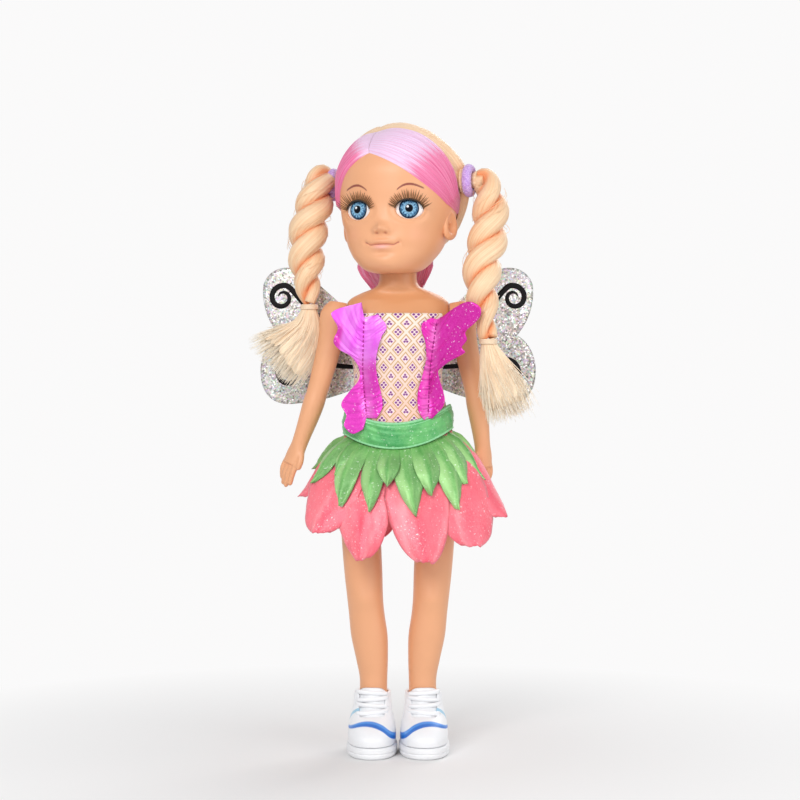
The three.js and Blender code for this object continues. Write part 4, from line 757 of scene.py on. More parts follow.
# Tints of the cheeks, nose (a painted highlight), nostrils (painted shade) and corners of the mouth:
# cover, place, spread and colour
FACE_TINTS = [
    (0.4, 21, 18, 9, 7, (0.90, 0.33, 0.22)),
    # A painted highlight on the nose
    (0.25, 0, NOSE_Z + 1, 2.6, 3, (0.95, 0.55, 0.34)),
    # Painted shade in the hollows of the nostrils
    (0.9, 2.9, NOSE_Z - 2.8, 1.5, 1.1, (0.36, 0.09, 0.045)),
    (0.5, MOUTH_HALF - 0.3, mouth_line(MOUTH_HALF), 0.9, 0.8, (0.36, 0.10, 0.06)),
]


def mirrored(x):
    return (-x, x) if x else (0,)


def eye_local(x, z, side):
    """Distance from the middle of an eye as a share of its lid opening, and height above it."""
    dx, dz = x - side * EYE_X, z - EYE_Z
    tall = np.where(dz > 0, LID_UP, LID_DOWN)
    return np.sqrt((dx / LID_WIDE) ** 2 + (dz / tall) ** 2), dz


def eye_front(x, z, side, grow):
    """Front of the grown eyeball at a place on the face."""
    a, d, b = (s + grow for s in EYE_SIZE)
    dx, dz = x - side * EYE_BALL_X, z - EYE_Z
    c, s = math.cos(EYE_TOE), math.sin(EYE_TOE) * side
    dy = np.full_like(dx, -d)
    for _ in range(6):
        across = c * dx + s * dy
        depth = np.clip(1 - (across / a) ** 2 - (dz / b) ** 2, 0.02, 1)
        dy = (-d * np.sqrt(depth) + s * dx) / c
    return EYE_Y + dy


def face_relief(x, z):
    """How far the face stands out of the plain head."""
    spread = np.where(z < NOSE_Z, NOSE_BELOW, NOSE_ABOVE)
    out = NOSE_OUT * np.exp(-(np.abs(x / NOSE_HALF) ** 2.1) - ((z - NOSE_Z) / spread) ** 2)
    bridge = smooth(z, NOSE_Z - 2, NOSE_Z + 2) * (1 - smooth(z, NOSE_Z + 2, NOSE_Z + 14))
    out += 0.7 * bridge * np.exp(-((x / 4.0) ** 2))
    ends = 1 - smooth(np.abs(x), MOUTH_HALF - 1.5, MOUTH_HALF + 0.6)
    out -= np.exp(-(((z - mouth_line(x)) / 0.6) ** 2)) * ends
    for height, across, up, wide, tall in FACE_SWELLS:
        for middle in mirrored(across):
            out += height * bump(x, z, middle, up, wide, tall)
    return out


def lids(x, y, z, side):
    """The face drawn in a little toward an eye, and swelled where the eyeball stands out."""
    far, _ = eye_local(x, z, side)
    sunk = eye_front(x, z, side, 1.0) - y
    hollow = np.clip(sunk, 0, 4) * 0.35 * smooth(1.75 - far, 0, 0.75)
    bulge = np.clip(sunk, -4, 0) * smooth(1.4 - far, 0, 0.35)
    return hollow + bulge


def lid_point(side, angle, out):
    """A place on the rim of the upper lid, counted from the outer corner, and ahead of the skin."""
    x, z = side * (EYE_X + LID_WIDE * np.cos(angle)), EYE_Z + LID_UP * np.sin(angle)
    y = HEAD.front(x, z) - face_relief(x, z)
    return stacked(x, y + lids(x, y, z, side) - out, z)


def brow(x, z):
    """Cover of an arched brow that is thin at both ends; x counts outward."""
    share = np.clip((x - BROW_FROM) / (BROW_TO - BROW_FROM), 0, 1)
    arch = BROW_Z + 3.3 * np.sin(np.pi * share**0.85) + 1.2 * share
    thick = 0.24 + 0.40 * np.sin(np.pi * np.clip(share * 0.8 + 0.1, 0, 1))
    within = smooth(x, BROW_FROM - 0.7, BROW_FROM + 0.3) - smooth(x, BROW_TO - 0.9, BROW_TO + 0.5)
    return (1 - smooth(np.abs(z - arch), thick, thick + 0.5)) * within


def face_paint(x, z, ahead):
    """Tints, lid lines, brows and lips, laid on the front of the head only."""
    paint = Paint(x.shape)
    for cover, across, up, wide, tall, colour in FACE_TINTS:
        for middle in mirrored(across):
            paint.lay(cover * bump(x, z, middle, up, wide, tall) * ahead, colour)
    for side in SIDES:
        far, dz = eye_local(x, z, side)
        rim = np.exp(-(((far - 1.05) / 0.085) ** 2)) * smooth(dz, -1.0, 2.5)
        paint.lay(rim * ahead, LID_INK)
        paint.lay(0.5 * np.exp(-(((far - 1.0) / 0.05) ** 2)) * (dz <= 0) * ahead, LID_SHADE)
        paint.lay(0.95 * brow(side * x, z) * ahead, BROW_INK)
    lower = smooth(MOUTH_Z - z, -0.2, 0.6) * bump(x, z, 0, MOUTH_Z - 1.4, 7.2, 2.2)
    paint.lay(0.9 * lower * ahead, LOWER_LIP)
    paint.lay(0.35 * bump(x, z, 0, MOUTH_Z + 1.7, 7, 1.4) * ahead, UPPER_LIP)
    ends = 1 - smooth(np.abs(x), MOUTH_HALF - 0.6, MOUTH_HALF + 0.6)
    line = 1 - smooth(np.abs(z - mouth_line(x)), 0.15, 0.75)
    paint.lay(0.9 * line * ends * ahead, LIP_LINE)
    return paint.value


def head():
    """The skin of the head, with its points closer on the face, turned in at the lid openings."""
    levels = np.concatenate([np.linspace(-CHIN_DROP, 58, 150), np.linspace(58.7, CROWN_RISE, 30)])
    even = full_turn(320)
    grid = HEAD.point((even - 0.45 * np.sin(even))[None], levels[:, None])
    x, z = grid[..., 0], grid[..., 2]
    ahead = smooth(-grid[..., 1], 4, 14)
    grid[..., 1] -= face_relief(x, z) * ahead
    for side in SIDES:
        far, _ = eye_local(x, z, side)
        grid[..., 1] += lids(x, grid[..., 1], z, side) * ahead
        grid[..., 1] += LID_DEEP * smooth(1.03 - far, 0, 0.09) * ahead
    paint = face_paint(x, z, ahead)
    skin = grid_object("face_and_head", in_head(grid), SKIN, CLOSED, paint=paint)
    wear(skin, "head", "vinyl_skin", "head_shell")


def ear(side, name):
    """A shell with a bowl in its outer face, fuller in its lower half than in its upper one."""
    inner_rows, outer_rows = 26, 34
    share = np.linspace(0.02, 1, inner_rows), np.linspace(0.98, 0.02, outer_rows)
    r = np.concatenate(share)[:, None]
    outer = (np.arange(inner_rows + outer_rows) >= inner_rows)[:, None]
    t = full_turn(64)[None]
    dome = np.sqrt(np.clip(1 - r**2.6, 0, 1))
    bowl = 0.95 * np.exp(-((r / 0.56) ** 4)) * (1 - 0.3 * np.cos(t - 0.4))
    thick, deep, tall = EAR_SIZE
    height = np.where(outer, thick * (dome - 1.05 * bowl), -thick * dome)
    lobe = 1 - 0.16 * np.cos(t) + 0.05 * np.cos(2 * t)
    y, z = turned(deep * r * np.sin(t) * lobe, tall * r * np.cos(t), EAR_LEAN)
    x, y = turned(height, y, -EAR_TURN[side])
    grid = ((stacked(x, y, z) + EAR[side]) * [side, 1, 1])[:, ::side]
    paint = Paint(grid.shape[:2])
    # Painted shade in the bowl of the ear
    paint.lay(0.35 * bowl * outer, (0.66, 0.25, 0.12))
    made = grid_object("ear_" + name, in_head(grid), SKIN, CLOSED, paint=paint.value)
    wear(made, "head", "vinyl_skin")


def eye(side, name):
    """An eyeball toed outward, with the lens of the iris swelled a little ahead of it."""
    a, d, b = EYE_SIZE
    polar = np.concatenate([np.linspace(0.01, 1.0, 40), np.linspace(1.04, np.pi - 0.02, 20)])
    p, t = np.meshgrid(polar, full_turn(64), indexing="ij")
    x, z = a * np.sin(p) * np.sin(t), b * np.sin(p) * np.cos(t)
    y = -d * np.cos(p) - 0.45 * smooth(7.2 - np.hypot(x, z - 0.3), 0, 3)
    across, ahead = turned(x, y, side * EYE_TOE)
    ball = stacked(side * EYE_BALL_X + across, EYE_Y + ahead, EYE_Z + z)
    made = grid_object("eye_" + name, in_head(ball), EYE_PAINT, CLOSED, stacked(x, z - 0.5))
    wear(made, "head", "iris_blue", "eye_white_" + name, "iris_" + name)


LASHES, LASH_SHORT, LASH_MORE, LASH_R = 25, 4.1, 2.3, 0.36


def lashes(side, name):
    """A fan of lashes, longest at the outer corner, and the dark line along the lid."""
    fan = Bundle()
    t = shares(6)[:, None]
    for share in shares(LASHES):
        jitter = RNG.uniform(-1, 1, 3)
        angle = math.radians(6 + 164 * share + 2 * jitter[0])
        root = lid_point(side, np.array([angle]), 0.5)[0]
        length = LASH_SHORT + LASH_MORE * (1 - share) + 0.7 * jitter[1]
        away = np.array([side * math.cos(angle), -0.5, math.sin(angle) * 0.95 + 0.12 * jitter[2]])
        path = root + length * (t * away + t * t * [0, 0.12, 0.22])
        radius = LASH_R * (1 - t[:, 0]) ** 0.6 + 0.05
        fan.add(in_head(tube_grid(path, radius, 5)), CLOSED)
    strip = lid_point(side, np.radians(np.linspace(2, 176, 40)), 0.25)
    thick = 0.75 * np.sin(np.linspace(0.25, np.pi - 0.25, 40)) ** 0.5
    line = grid_object("lid_line_" + name, in_head(tube_grid(strip, thick, 6)), LINER, CLOSED)
    wear(line, "head", "lash_brown")
    wear(fan.build("lash_fan_" + name, LASH), "head", "lash_brown", "lashes_" + name)


# Hair

SCALP_MIDDLE = np.array([0, 3, 42.0])
PARTING = [(-10, -34.6, 71.8), (-10, -25, 81), (-10, -15, 86.6)]
CROWN = [(-10, -17, 86), (-9, 2, 91), (-8, 20, 85), (-5, 34, 70), (0, 42, 50), (0, 40, 28), (0, 34, 8)]
NECKLINE = [(12, 33, 5), (24, 28, 8), (33, 19, 15), (36.5, 16, 26), (39, 13, 37), (40.5, 8, 44)]
UNDER_FRINGE = [(41, -1, 46), (40.5, -5, 56), (36, -10, 68), (27, -14, 78)]
# The first strand of the fringe over the ear and behind it, and from there to the last strand
FRINGE_EAR = (35.5, -11.5, 39), (5.2, 11, 9.6)
FRINGE_TUCKED = (38, 13, 34), (1.5, 2, 8)
FRINGE_SAG = {-1: 0, 1: 0.115}
# How far from the parting the painted highlight of each side reaches
PAINTED_SHINE_REACH = {-1: 0.05, 1: 0.20}
FRINGE_SUNK = -1.2


def scalp(direction, grow):
    """Places on the head seen from its middle along unit directions, lifted by grow."""
    low = np.zeros(direction.shape[:-1])
    high = np.full(direction.shape[:-1], 80.0)
    for _ in range(22):
        mid = (low + high) / 2
        p = SCALP_MIDDLE + direction * mid[..., None]
        _, y, wide, front, back = HEAD.at(p[..., 2])
        deep = np.where(p[..., 1] < y, front, back)
        n = HEAD.squareness
        outside = (np.abs(p[..., 0]) / wide) ** n + (np.abs(p[..., 1] - y) / deep) ** n > 1
        outside |= p[..., 2] > CROWN_RISE
        low, high = np.where(outside, low, mid), np.where(outside, mid, high)
    return SCALP_MIDDLE + direction * ((low + high) / 2 + grow)[..., None]


def sweep(stops, count):
    """Directions that run from stop to stop over the scalp; each stop has one row a strand."""
    run = [unit(np.asarray(s, float) - SCALP_MIDDLE) for s in stops]
    t = shares(count)[None, :, None]
    parts = []
    for a, b in zip(run, run[1:]):
        angle = np.arccos(np.clip((a * b).sum(-1), -1, 1))[:, None, None]
        mixed = np.sin((1 - t) * angle) * a[:, None] + np.sin(t * angle) * b[:, None]
        parts.append((mixed / np.sin(angle))[:, len(parts) > 0:])
    return unit(np.concatenate(parts, 1))


def strands_uv(points):
    """Millimetres across the strands, then along them."""
    across = run_length(points[:, points.shape[1] // 4])
    along = np.cumsum(np.linalg.norm(np.diff(points, axis=1), axis=-1), 1)
    return stacked(across[:, None], np.pad(along, ((0, 0), (1, 0))))


def fringe(side, name):
    """Pink hair from the parting, over the brow, behind the ear, with a painted highlight near the
    parting.
    """
    strands, steps = 170, 34
    share = shares(strands)[:, None]
    roots = path_through(PARTING, strands) + [side * 0.1, 0, 0]
    over_ear, tucked = (
        (first + share * to_last) * [side, 1, 1] for first, to_last in (FRINGE_EAR, FRINGE_TUCKED))
    way = sweep([roots, over_ear, tucked], steps)
    along = shares(way.shape[1])[None]
    sag = FRINGE_SAG[side] * (1 - share) ** 1.3 * np.sin(np.pi * np.clip(2 * along, 0, 1))
    way = unit(way - sag[..., None] * UPRIGHT)
    lift = 1.5 + 1.4 * smooth(along, 0, 0.08) - 2.0 * smooth(along, 0.35, 1)
    comb = 0.36 * wave(share * 60 + 1.2 * np.sin(along * 3), 3 + side)
    grow = (lift + comb * smooth(along, 0.02, 0.2)) * (0.22 + 0.78 * smooth(share, 0, 0.12))
    grow = np.pad(grow, ((1, 1), (0, 0)), constant_values=FRINGE_SUNK)
    grow[:, -1] = FRINGE_SUNK
    points = scalp(np.concatenate([way[:1], way, way[-1:]]), grow)
    row = np.concatenate([share[:1], share, share[-1:]])
    # Painted highlight near the parting: how far it reaches, and how pale it is
    reach = PAINTED_SHINE_REACH[side] + 0.09 * row + 0.035 * wave(row * 40, 8)
    painted_shine = (1 - smooth(along - reach, -0.045, 0.045)) * (0.80 + 0.20 * wave(row * 90, 12))
    paint = coat(painted_shine.shape, np.clip(painted_shine, 0, 1)[..., None], 0)
    made = grid_object("combed_fringe_" + name, in_head(points), PINK, OPEN, strands_uv(points), paint)
    wear(made, "head", "hair_pink", "fringe_" + name)


# The knots inside the ties: place, radius of the gathered hair, and the stub that stands out of it
KNOT_X, GATHER_R = 43.0, 4.2
STUB_FROM, STUB_LONG, STUB_R = 42, 11, 8.2


def tie_stub(side):
    """The gathered hair that passes through a tie, a little wider at its outer end."""
    out, around = shares(12), np.arange(60)
    middle = stacked(side * (STUB_FROM + STUB_LONG * out), *TIE[1:])
    radius = STUB_R - 3.6 * smooth(out, 0, 0.5) + 1.5 * smooth(out, 0.6, 1)
    grid = tube_grid(middle, radius, len(around), UPRIGHT)
    grid = grid + 0.3 * wave(around * 0.9, 5)[None, :, None] * unit(grid - middle[:, None])
    return in_head(grid), CLOSED, stacked(around[None] * 0.8, out[:, None] * 12)


def cap():
    """Blonde hair from the crown, the back parting and the neckline, gathered to each tie."""
    hair = Bundle()
    strands, steps = 320, 30
    share, along = shares(strands)[:, None], shares(steps)[None]
    for side in SIDES:
        under, low = (np.array(line) * [side, 1, 1] for line in (UNDER_FRINGE, NECKLINE))
        roots = path_through(np.concatenate([under, CROWN, low]), strands)
        beneath = np.linalg.norm(roots - CROWN[0], axis=1).argmin() / strands
        knot = np.array([side * KNOT_X, *TIE[1:]])
        way = sweep([roots, knot + GATHER_R * unit((roots - knot) * [0.15, 1, 1])], steps)
        comb = 0.32 * wave(share * 80 + np.sin(along * 2.5), 21 + side) * smooth(along, 0.03, 0.2)
        nape = smooth(share, 0.78, 0.88)
        height = 0.4 + 3.6 * smooth(share, beneath, beneath + 0.05) - 3.5 * nape
        root = 0.7 + 0.3 * smooth(along, 0, 0.06)
        gather = (2.6 - 1.7 * nape) * smooth(along, 0.55, 1)
        points = scalp(way, 0.3 + height * root + gather + comb)
        # Painted shade where the strands gather under the tie: darker at their ends
        paint = coat((strands, steps), (0.85, 0.40, 0.16), 0.55 * smooth(along, 0.82, 1.0))
        uv = strands_uv(points)
        hair.add(in_head(points)[::side], OPEN, uv[::side], paint)
        hair.add(*tie_stub(side))
    wear(hair.build("combed_crown", BLONDE), "head", "hair_blonde", "hair_cap")


NAPE_TOP, NAPE_END = 17, -15.5
NAPE_TABLE = [
    [-17, -8, 24.5, 12, 0.8, 0.8],
    [-11, -8, 24.6, 18.5, 2, 2],
    [-4, -9, 24.4, 24.5, 2.6, 2.4],
    [3, -9, 24.6, 26.5, 4, 2.6],
    [9, -7, 25.6, 22, 6, 3],
    [NAPE_TOP, -4, 27, 15, 9, 3.4],
]
NAPE_STRANDS = 90


def nape_lock():
    """Pink hair that hangs behind the neck from under the crown hair."""
    turn, level = full_turn(220), shares(30)[:, None]
    ragged = NAPE_END + 2.2 * wave(turn * 14, 31)
    z = NAPE_TOP + (ragged[None] - NAPE_TOP) * level
    points = Loft(NAPE_TABLE, 2.6).point(turn[None], z, 0.25 * wave(turn * 34, 33)[None])
    uv = stacked(turn[None] * 22, (1 - level) * 34)
    # Painted shade under the crown hair: darker toward the top of the lock
    paint = coat(z.shape, (0.62, 0.05, 0.20), 0.45 * smooth(1 - level, 0.3, 1))
    hair = Bundle()
    hair.add(in_head(points[::-1]), CLOSED, uv[::-1], paint[::-1])
    for _ in range(NAPE_STRANDS):
        skin = points[14:, int(RNG.integers(0, len(turn)))]
        drift = RNG.normal(0, 0.8, 3) + [0, 0.4, -RNG.uniform(0.5, 4.5)]
        fall = shares(len(skin))
        strand = skin + fall[:, None] ** 2 * drift
        hair.add(in_head(tube_grid(strand, 0.42 - 0.34 * fall, 5)), CLOSED)
    wear(hair.build("hanging_lock", PINK), "head", "hair_pink", "nape_lock")


TIE_RING, TIE_ROLL = 8.2, 2.75


def terry_tie(side, name):
    """A roll of terry loops round a knot of hair."""
    big, small = full_turn(150)[:, None], full_turn(30)[None]
    r = TIE_ROLL + 0.32 * wave(big * 21 + 2 * np.sin(small * 3), 41) * np.cos(small * 5)
    ring = TIE_RING + r * np.cos(small)
    x = side * (TIE[0] + r * np.sin(small) * 1.15)
    grid = stacked(x, TIE[1] + ring * np.sin(big), TIE[2] + ring * np.cos(big))
    grid = np.concatenate([grid, grid[:1]])[:, ::-side]
    made = grid_object("terry_tie_" + name, in_head(grid), TERRY, TUBE)
    wear(made, "head", "terry_lavender", "hair_tie_" + name)


# Where each twist hangs, from the middle of its tie, and how its tail falls from the knot
HANG = {
    -1: {
        "turns": 2.5,
        "phase": 1.2,
        "path": [(-3.6, 0.6, 1), (-7.4, -4, 5), (-11, -10, -8), (-16.6, -13, -32), (-18, -14, -58),
                 (-16, -15, -81)],
        "tail": [(0, 0, -1.9), (-2, 0, -14), (-12, -2, -28), (-25, -4, -41)],
        "widths": [[0, 4.8], [0.2, 9.5], [0.6, 18], [1, 22]],
    },
    1: {
        "turns": 2.7,
        "phase": 0.4,
        "path": [(4.6, -1.4, 0), (9.6, -3, 1), (14, -4, -14), (12.4, -6.5, -38), (8, -10.5, -62),
                 (8.4, -13.5, -84), (12, -14.5, -105)],
        "tail": [(0, 0, -1.9), (4, 0, -16), (10, 1, -32), (16.5, 2, -49)],
        "widths": [[0, 4.8], [0.2, 8.5], [0.6, 13.5], [1, 15]],
    },
}
FULL = [[0, 0.44], [0.12, 0.78], [0.35, 1], [0.66, 0.97], [0.84, 0.76], [0.94, 0.55], [1, 0.46]]
STRAND_R, STRAND_ORBIT = 7.4, 5.7
STRAYS, STRAY_R = 26, 0.16
KNOT_DROP, KNOT_R, ELASTIC_R = 2.9, 5.4, 0.75
TWIST_SHADE = (0.90, 0.33, 0.13)
TAIL_DEEP = [[0, 4.4], [0.3, 5], [0.7, 4.2], [1, 2.4]]
# The tail's pale colour, and the paler colour of its tips, which is painted light as though lit from
# behind
TAIL_PALE, TAIL_LIT_TIP = np.array([0.99, 0.87, 0.66]), np.array([1.0, 0.95, 0.82])
# Strands of a tail, and how far they stray at their ends: most of them, and every ninth
TAIL_STRANDS, TAIL_STRAY, TAIL_LOOSE = 1150, 1.3, 3.6
# Two heights given for hair that hangs: below the seat of the head, and above it
HAIR_STAYS, HAIR_TURNS = (0, 0, SEAT_Z - 22), (0, 0, SEAT_Z + 62)


def hang(obj, node):
    bend(obj, node, HAIR_STAYS, HAIR_TURNS)


def twist(side, name):
    """Two strands of combed hair wound round each other, with loose hairs, elastic and tail."""
    path = path_through(in_head(np.array(TIE) * [side, 1, 1]) + HANG[side]["path"], 130)
    share = shares(len(path))
    full = through(FULL, share)[:, 0]
    outside = full * (STRAND_R + STRAND_ORBIT)
    normal, binormal = frames_along(path, (0, -1, 0.2))

    def wound(at, turn, out):
        spoke = np.cos(turn)[:, None] * normal[at] + np.sin(turn)[:, None] * binormal[at]
        return path[at] + out[:, None] * spoke

    rope = Bundle()
    around = np.arange(56)[None]
    for half in (0, np.pi):
        turn = 2 * np.pi * HANG[side]["turns"] * share + half + HANG[side]["phase"]
        middle = wound(slice(None), turn, STRAND_ORBIT * full)
        grid = tube_grid(middle, STRAND_R * full, around.size)
        fibre = wave(around * 1.4 + 5 * share[:, None], 51 + side) * 0.3
        grid = grid + fibre[..., None] * unit(grid - middle[:, None])
        far = np.linalg.norm(grid - path[:, None], axis=-1) / outside[:, None]
        paint = coat(far.shape, TWIST_SHADE, 0.92 * smooth(0.93 - far, 0, 0.36))
        rope.add(grid, CLOSED, stacked(around * 0.8, 130 * share[:, None]), paint)
    for _ in range(STRAYS):
        start, length = int(RNG.integers(4, 100)), int(RNG.integers(12, 26))
        at = np.arange(start, min(start + length, len(path) - 1))
        turn = RNG.uniform(0, 6.3) + at * 0.12
        stray = wound(at, turn, outside[at] * RNG.uniform(0.9, 1.04))
        rope.add(tube_grid(stray, STRAY_R, 4), CLOSED)
    hang(rope.build("rope_twist_" + name, BLONDE), "twist_" + name)

    knot = path[-1] - [0, 0, KNOT_DROP]
    elastic_loops(name, knot)
    tail(side, name, knot)


def elastic_loops(name, knot):
    """Three loops, one above the other, round the end of a twist."""
    turn = full_turn(48)
    ring = knot + KNOT_R * stacked(np.cos(turn), np.sin(turn), 0)
    band = Bundle()
    for step in (-1, 0, 1):
        loop = np.concatenate([ring, ring[:2]]) + [0, 0, step]
        band.add(tube_grid(loop, ELASTIC_R, 8, UPRIGHT), TUBE)
    hang(band.build("tail_elastic_" + name, ELASTIC), "tail_tie_" + name)


def tail_core(side, lines):
    """The smooth inside of a tail, with a ragged end that the single strands cover."""
    turn, level = full_turn(90), shares(22)[:, None]
    s = level * (0.74 + 0.12 * wave(turn * 12, 61 + side))[None]
    middle, across, deep, wide, thick = (between(s, shares(len(line)), line) for line in lines)
    comb = (0.92 + 0.05 * wave(turn * 26, 63 + side))[None, :, None]
    c, d = np.cos(turn)[None, :, None], np.sin(turn)[None, :, None]
    grid = middle + comb * (across * wide * c + deep * thick * d)
    uv = stacked(turn[None] * 14, level * 46)
    # Painted light: the core paler toward its end
    return grid, CLOSED, uv, coat(s.shape, TAIL_PALE, 0.15 + 0.45 * level)


def tail(side, name, knot):
    """A brush of single strands that fans out of its elastic."""
    steps = 12
    share = shares(steps)
    fall = share[:, None]
    middle = path_through(knot + np.array(HANG[side]["tail"]), steps)
    ahead = np.gradient(middle, axis=0)
    across = unit(np.cross(ahead, [0, -1, 0]))
    deep = unit(np.cross(ahead, across))
    lines = (middle, across, deep, through(HANG[side]["widths"], share), through(TAIL_DEEP, share))
    brush = Bundle()
    brush.add(*tail_core(side, lines))
    tip = shares(steps + 1)[:, None]
    # Painted light: the strands paler toward their tips, as though lit from behind
    colour = TAIL_PALE + tip[..., None] ** 2 * (TAIL_LIT_TIP - TAIL_PALE)
    radius = 0.50 - 0.42 * tip[:, 0] ** 0.8
    for k in range(TAIL_STRANDS):
        a = RNG.uniform(-1, 1)
        b = RNG.uniform(-1, 1) * math.sqrt(1 - a * a)
        reach = 1.12 - 0.52 * RNG.uniform(0, 1) ** 0.9 - 0.10 * a * a
        place, aside, behind, w, d = (between(share * reach, share, line) for line in lines)
        lock = (1.1 * np.sin(9 * a + 4 * b) + 1.3 * np.sin(4.5 * fall + 3 * a)) * fall**1.5
        stray = TAIL_STRAY if k % 9 else TAIL_LOOSE
        drift = RNG.normal(0, stray, 3) * fall**2 + lock * aside
        strand = place + aside * w * a + behind * d * b + drift
        lead = middle[0] + [0, 0, 3.4] + (strand[0] - middle[0]) * 0.9
        uv = stacked(np.full((1, 4), RNG.uniform(0, 60)), 50 * tip)
        paint = coat(uv.shape[:2], colour, 0.3 + (0.4 + 0.3 * RNG.uniform()) * tip)
        brush.add(tube_grid(np.concatenate([lead[None], strand]), radius, 4), CLOSED, uv, paint)
    hang(brush.build("tail_brush_" + name, BLONDE), "tail_" + name)


# Body

PELVIS = Loft([
    [HIP_Z - 21, 0, 0, PELVIS_HALF - 4, 6, 6],
    [HIP_Z - 16, 0, 0, PELVIS_HALF - 1, 12, 13],
    [HIP_Z - 6, 0, 0, PELVIS_HALF, 15, 16],
    [HIP_CUT + 8, 0, 0, PELVIS_HALF, 15, 16],
], 3)


def torso():
    """Trunk and neck, cut flat at the shoulders, with the pelvis between the legs."""
    grid = TRUNK.rings(120, 150, HIP_CUT, SEAT_Z - TOUCH_GAP)
    grid[..., 0] = np.clip(grid[..., 0], -SHOULDER_PLANE, SHOULDER_PLANE)
    collar = bump(np.abs(grid[..., 0]), grid[..., 2], 17, SHOULDER_Z + 10.5, 12, 1.8)
    grid[..., 1] -= 0.7 * collar * (grid[..., 1] < 0)
    tone = Paint(grid.shape[:2])
    tone.lay(np.full(grid.shape[:2], 0.9), BODY_FLESH)
    # Painted shade under the chin: the neck darker toward its top
    tone.lay(0.55 * smooth(grid[..., 2], SHOULDER_Z + 14, SHOULDER_Z + 22), NECK_SHADE)
    trunk = Bundle()
    trunk.add(grid, CLOSED, paint=tone.value)
    trunk.add(PELVIS.rings(120, 30, PELVIS.low, HIP_CUT + 2), CLOSED)
    wear(trunk.build("trunk_skin", SKIN), "torso", "vinyl_skin", "torso_front", "torso_back")


# Splay of the arm and of the hand, and lean to the front, in degrees
ARMS = {1: (12, 4, 7), -1: (14.5, 23, 0)}
SHOULDER_R, SHOULDER_OUT = 11.2, 41
ARM_VOXEL = 0.55
UPPER_ARM, FOREARM, PALM, FINGER, FINGER_R = 52, 36, 16, 16, 2.0
FINGER_PITCH, FINGER_ROOT, FINGER_SIZES = 3.3, 3.5, (0.86, 1, 0.95, 0.75)


def capsule(path, r0, r1):
    """A tapered finger with a round tip."""
    share = shares(len(path))
    left = (1 - share) * np.linalg.norm(path[-1] - path[0])
    tip = np.sqrt(np.clip(1 - (1 - np.clip(left / r1, 0, 1)) ** 2, 0.02, 1))
    return tube_grid(path, (r0 + (r1 - r0) * share) * tip, 20)


def fingers(side, wrist, knuckles, down, spread):
    """Four fingers that begin inside the palm and curl in, and the thumb."""
    back = np.cross(down, spread) * side
    for i, size in enumerate(FINGER_SIZES):
        aside = spread * (1.5 - i)
        root = knuckles + aside * FINGER_PITCH - down * FINGER_ROOT
        tip = root + down * (FINGER * size + FINGER_ROOT) + aside * 0.5
        curl_in = back * (1.2 + 0.9 * i)
        finger = path_through([root, (root + tip) / 2 - curl_in * 0.1, tip + curl_in], 14)
        yield capsule(finger, FINGER_R * 1.08, FINGER_R * 0.82)
    base = wrist + down * 4 + spread * 3
    thumb = path_through([base, base + down * 7 + spread * 4.2, base + down * 14 + spread * 5.2], 14)
    yield capsule(thumb, FINGER_R * 1.35, FINGER_R * 0.95)


def arm(side, name):
    """An arm with a softly closed hand, the thumb on the inner side."""
    splay, hand_splay, lean = (math.radians(v) for v in ARMS[side])

    def step(start, length, angle):
        down = math.cos(angle)
        way = [side * math.sin(angle), down * math.sin(lean), -down * math.cos(lean)]
        return start + length * np.array(way)

    def at(length):
        return (SHOULDER_R - 2 + length) / (SHOULDER_R + UPPER_ARM + FOREARM + PALM - 2)

    shoulder = np.array([side * SHOULDER_OUT, 0, SHOULDER_Z])
    elbow = step(shoulder, UPPER_ARM, splay)
    wrist = step(elbow, FOREARM, (splay + hand_splay) / 2)
    knuckles = step(wrist, PALM, hand_splay)
    top = shoulder + [-side * 1.5, 0, SHOULDER_R - 2]
    path = path_through([top, shoulder, elbow, wrist, knuckles], 90)
    to_wrist = UPPER_ARM + FOREARM
    across = [[0, 6.2], [at(-5), 9.6], [at(1), SHOULDER_R], [at(16), 8.6], [at(34), 7.7],
              [at(UPPER_ARM), 7.0], [at(UPPER_ARM + 10), 7.2],
              [at(to_wrist), 5.4], [at(to_wrist + 9), 7.0], [1, 6.3]]
    through_hand = [*across[:-2], [across[-2][0], 4.4], [1, 4.4]]
    down = unit(knuckles - wrist)
    spread = np.array([-side * 0.75, -0.66, 0])
    spread = unit(spread - down * spread.dot(down))
    wide, deep = (through(table, shares(len(path)))[:, 0] for table in (across, through_hand))
    body = Bundle()
    body.add(tube_grid(path, wide, 48, spread, deep), CLOSED)
    for finger in fingers(side, wrist, knuckles, down, spread):
        body.add(finger, CLOSED)
    made = moulded(body.build("arm_skin_" + name, SKIN), ARM_VOXEL, 5)
    lay_paint(made.data)
    plane = side * in_row([[side * (SHOULDER_PLANE + TOUCH_GAP), 0, 0]])[0][0]
    for v in made.data.vertices:
        v.co.x = side * max(side * v.co.x, plane)
    wear(made, "arm_" + name, "vinyl_skin", "arm_" + name)


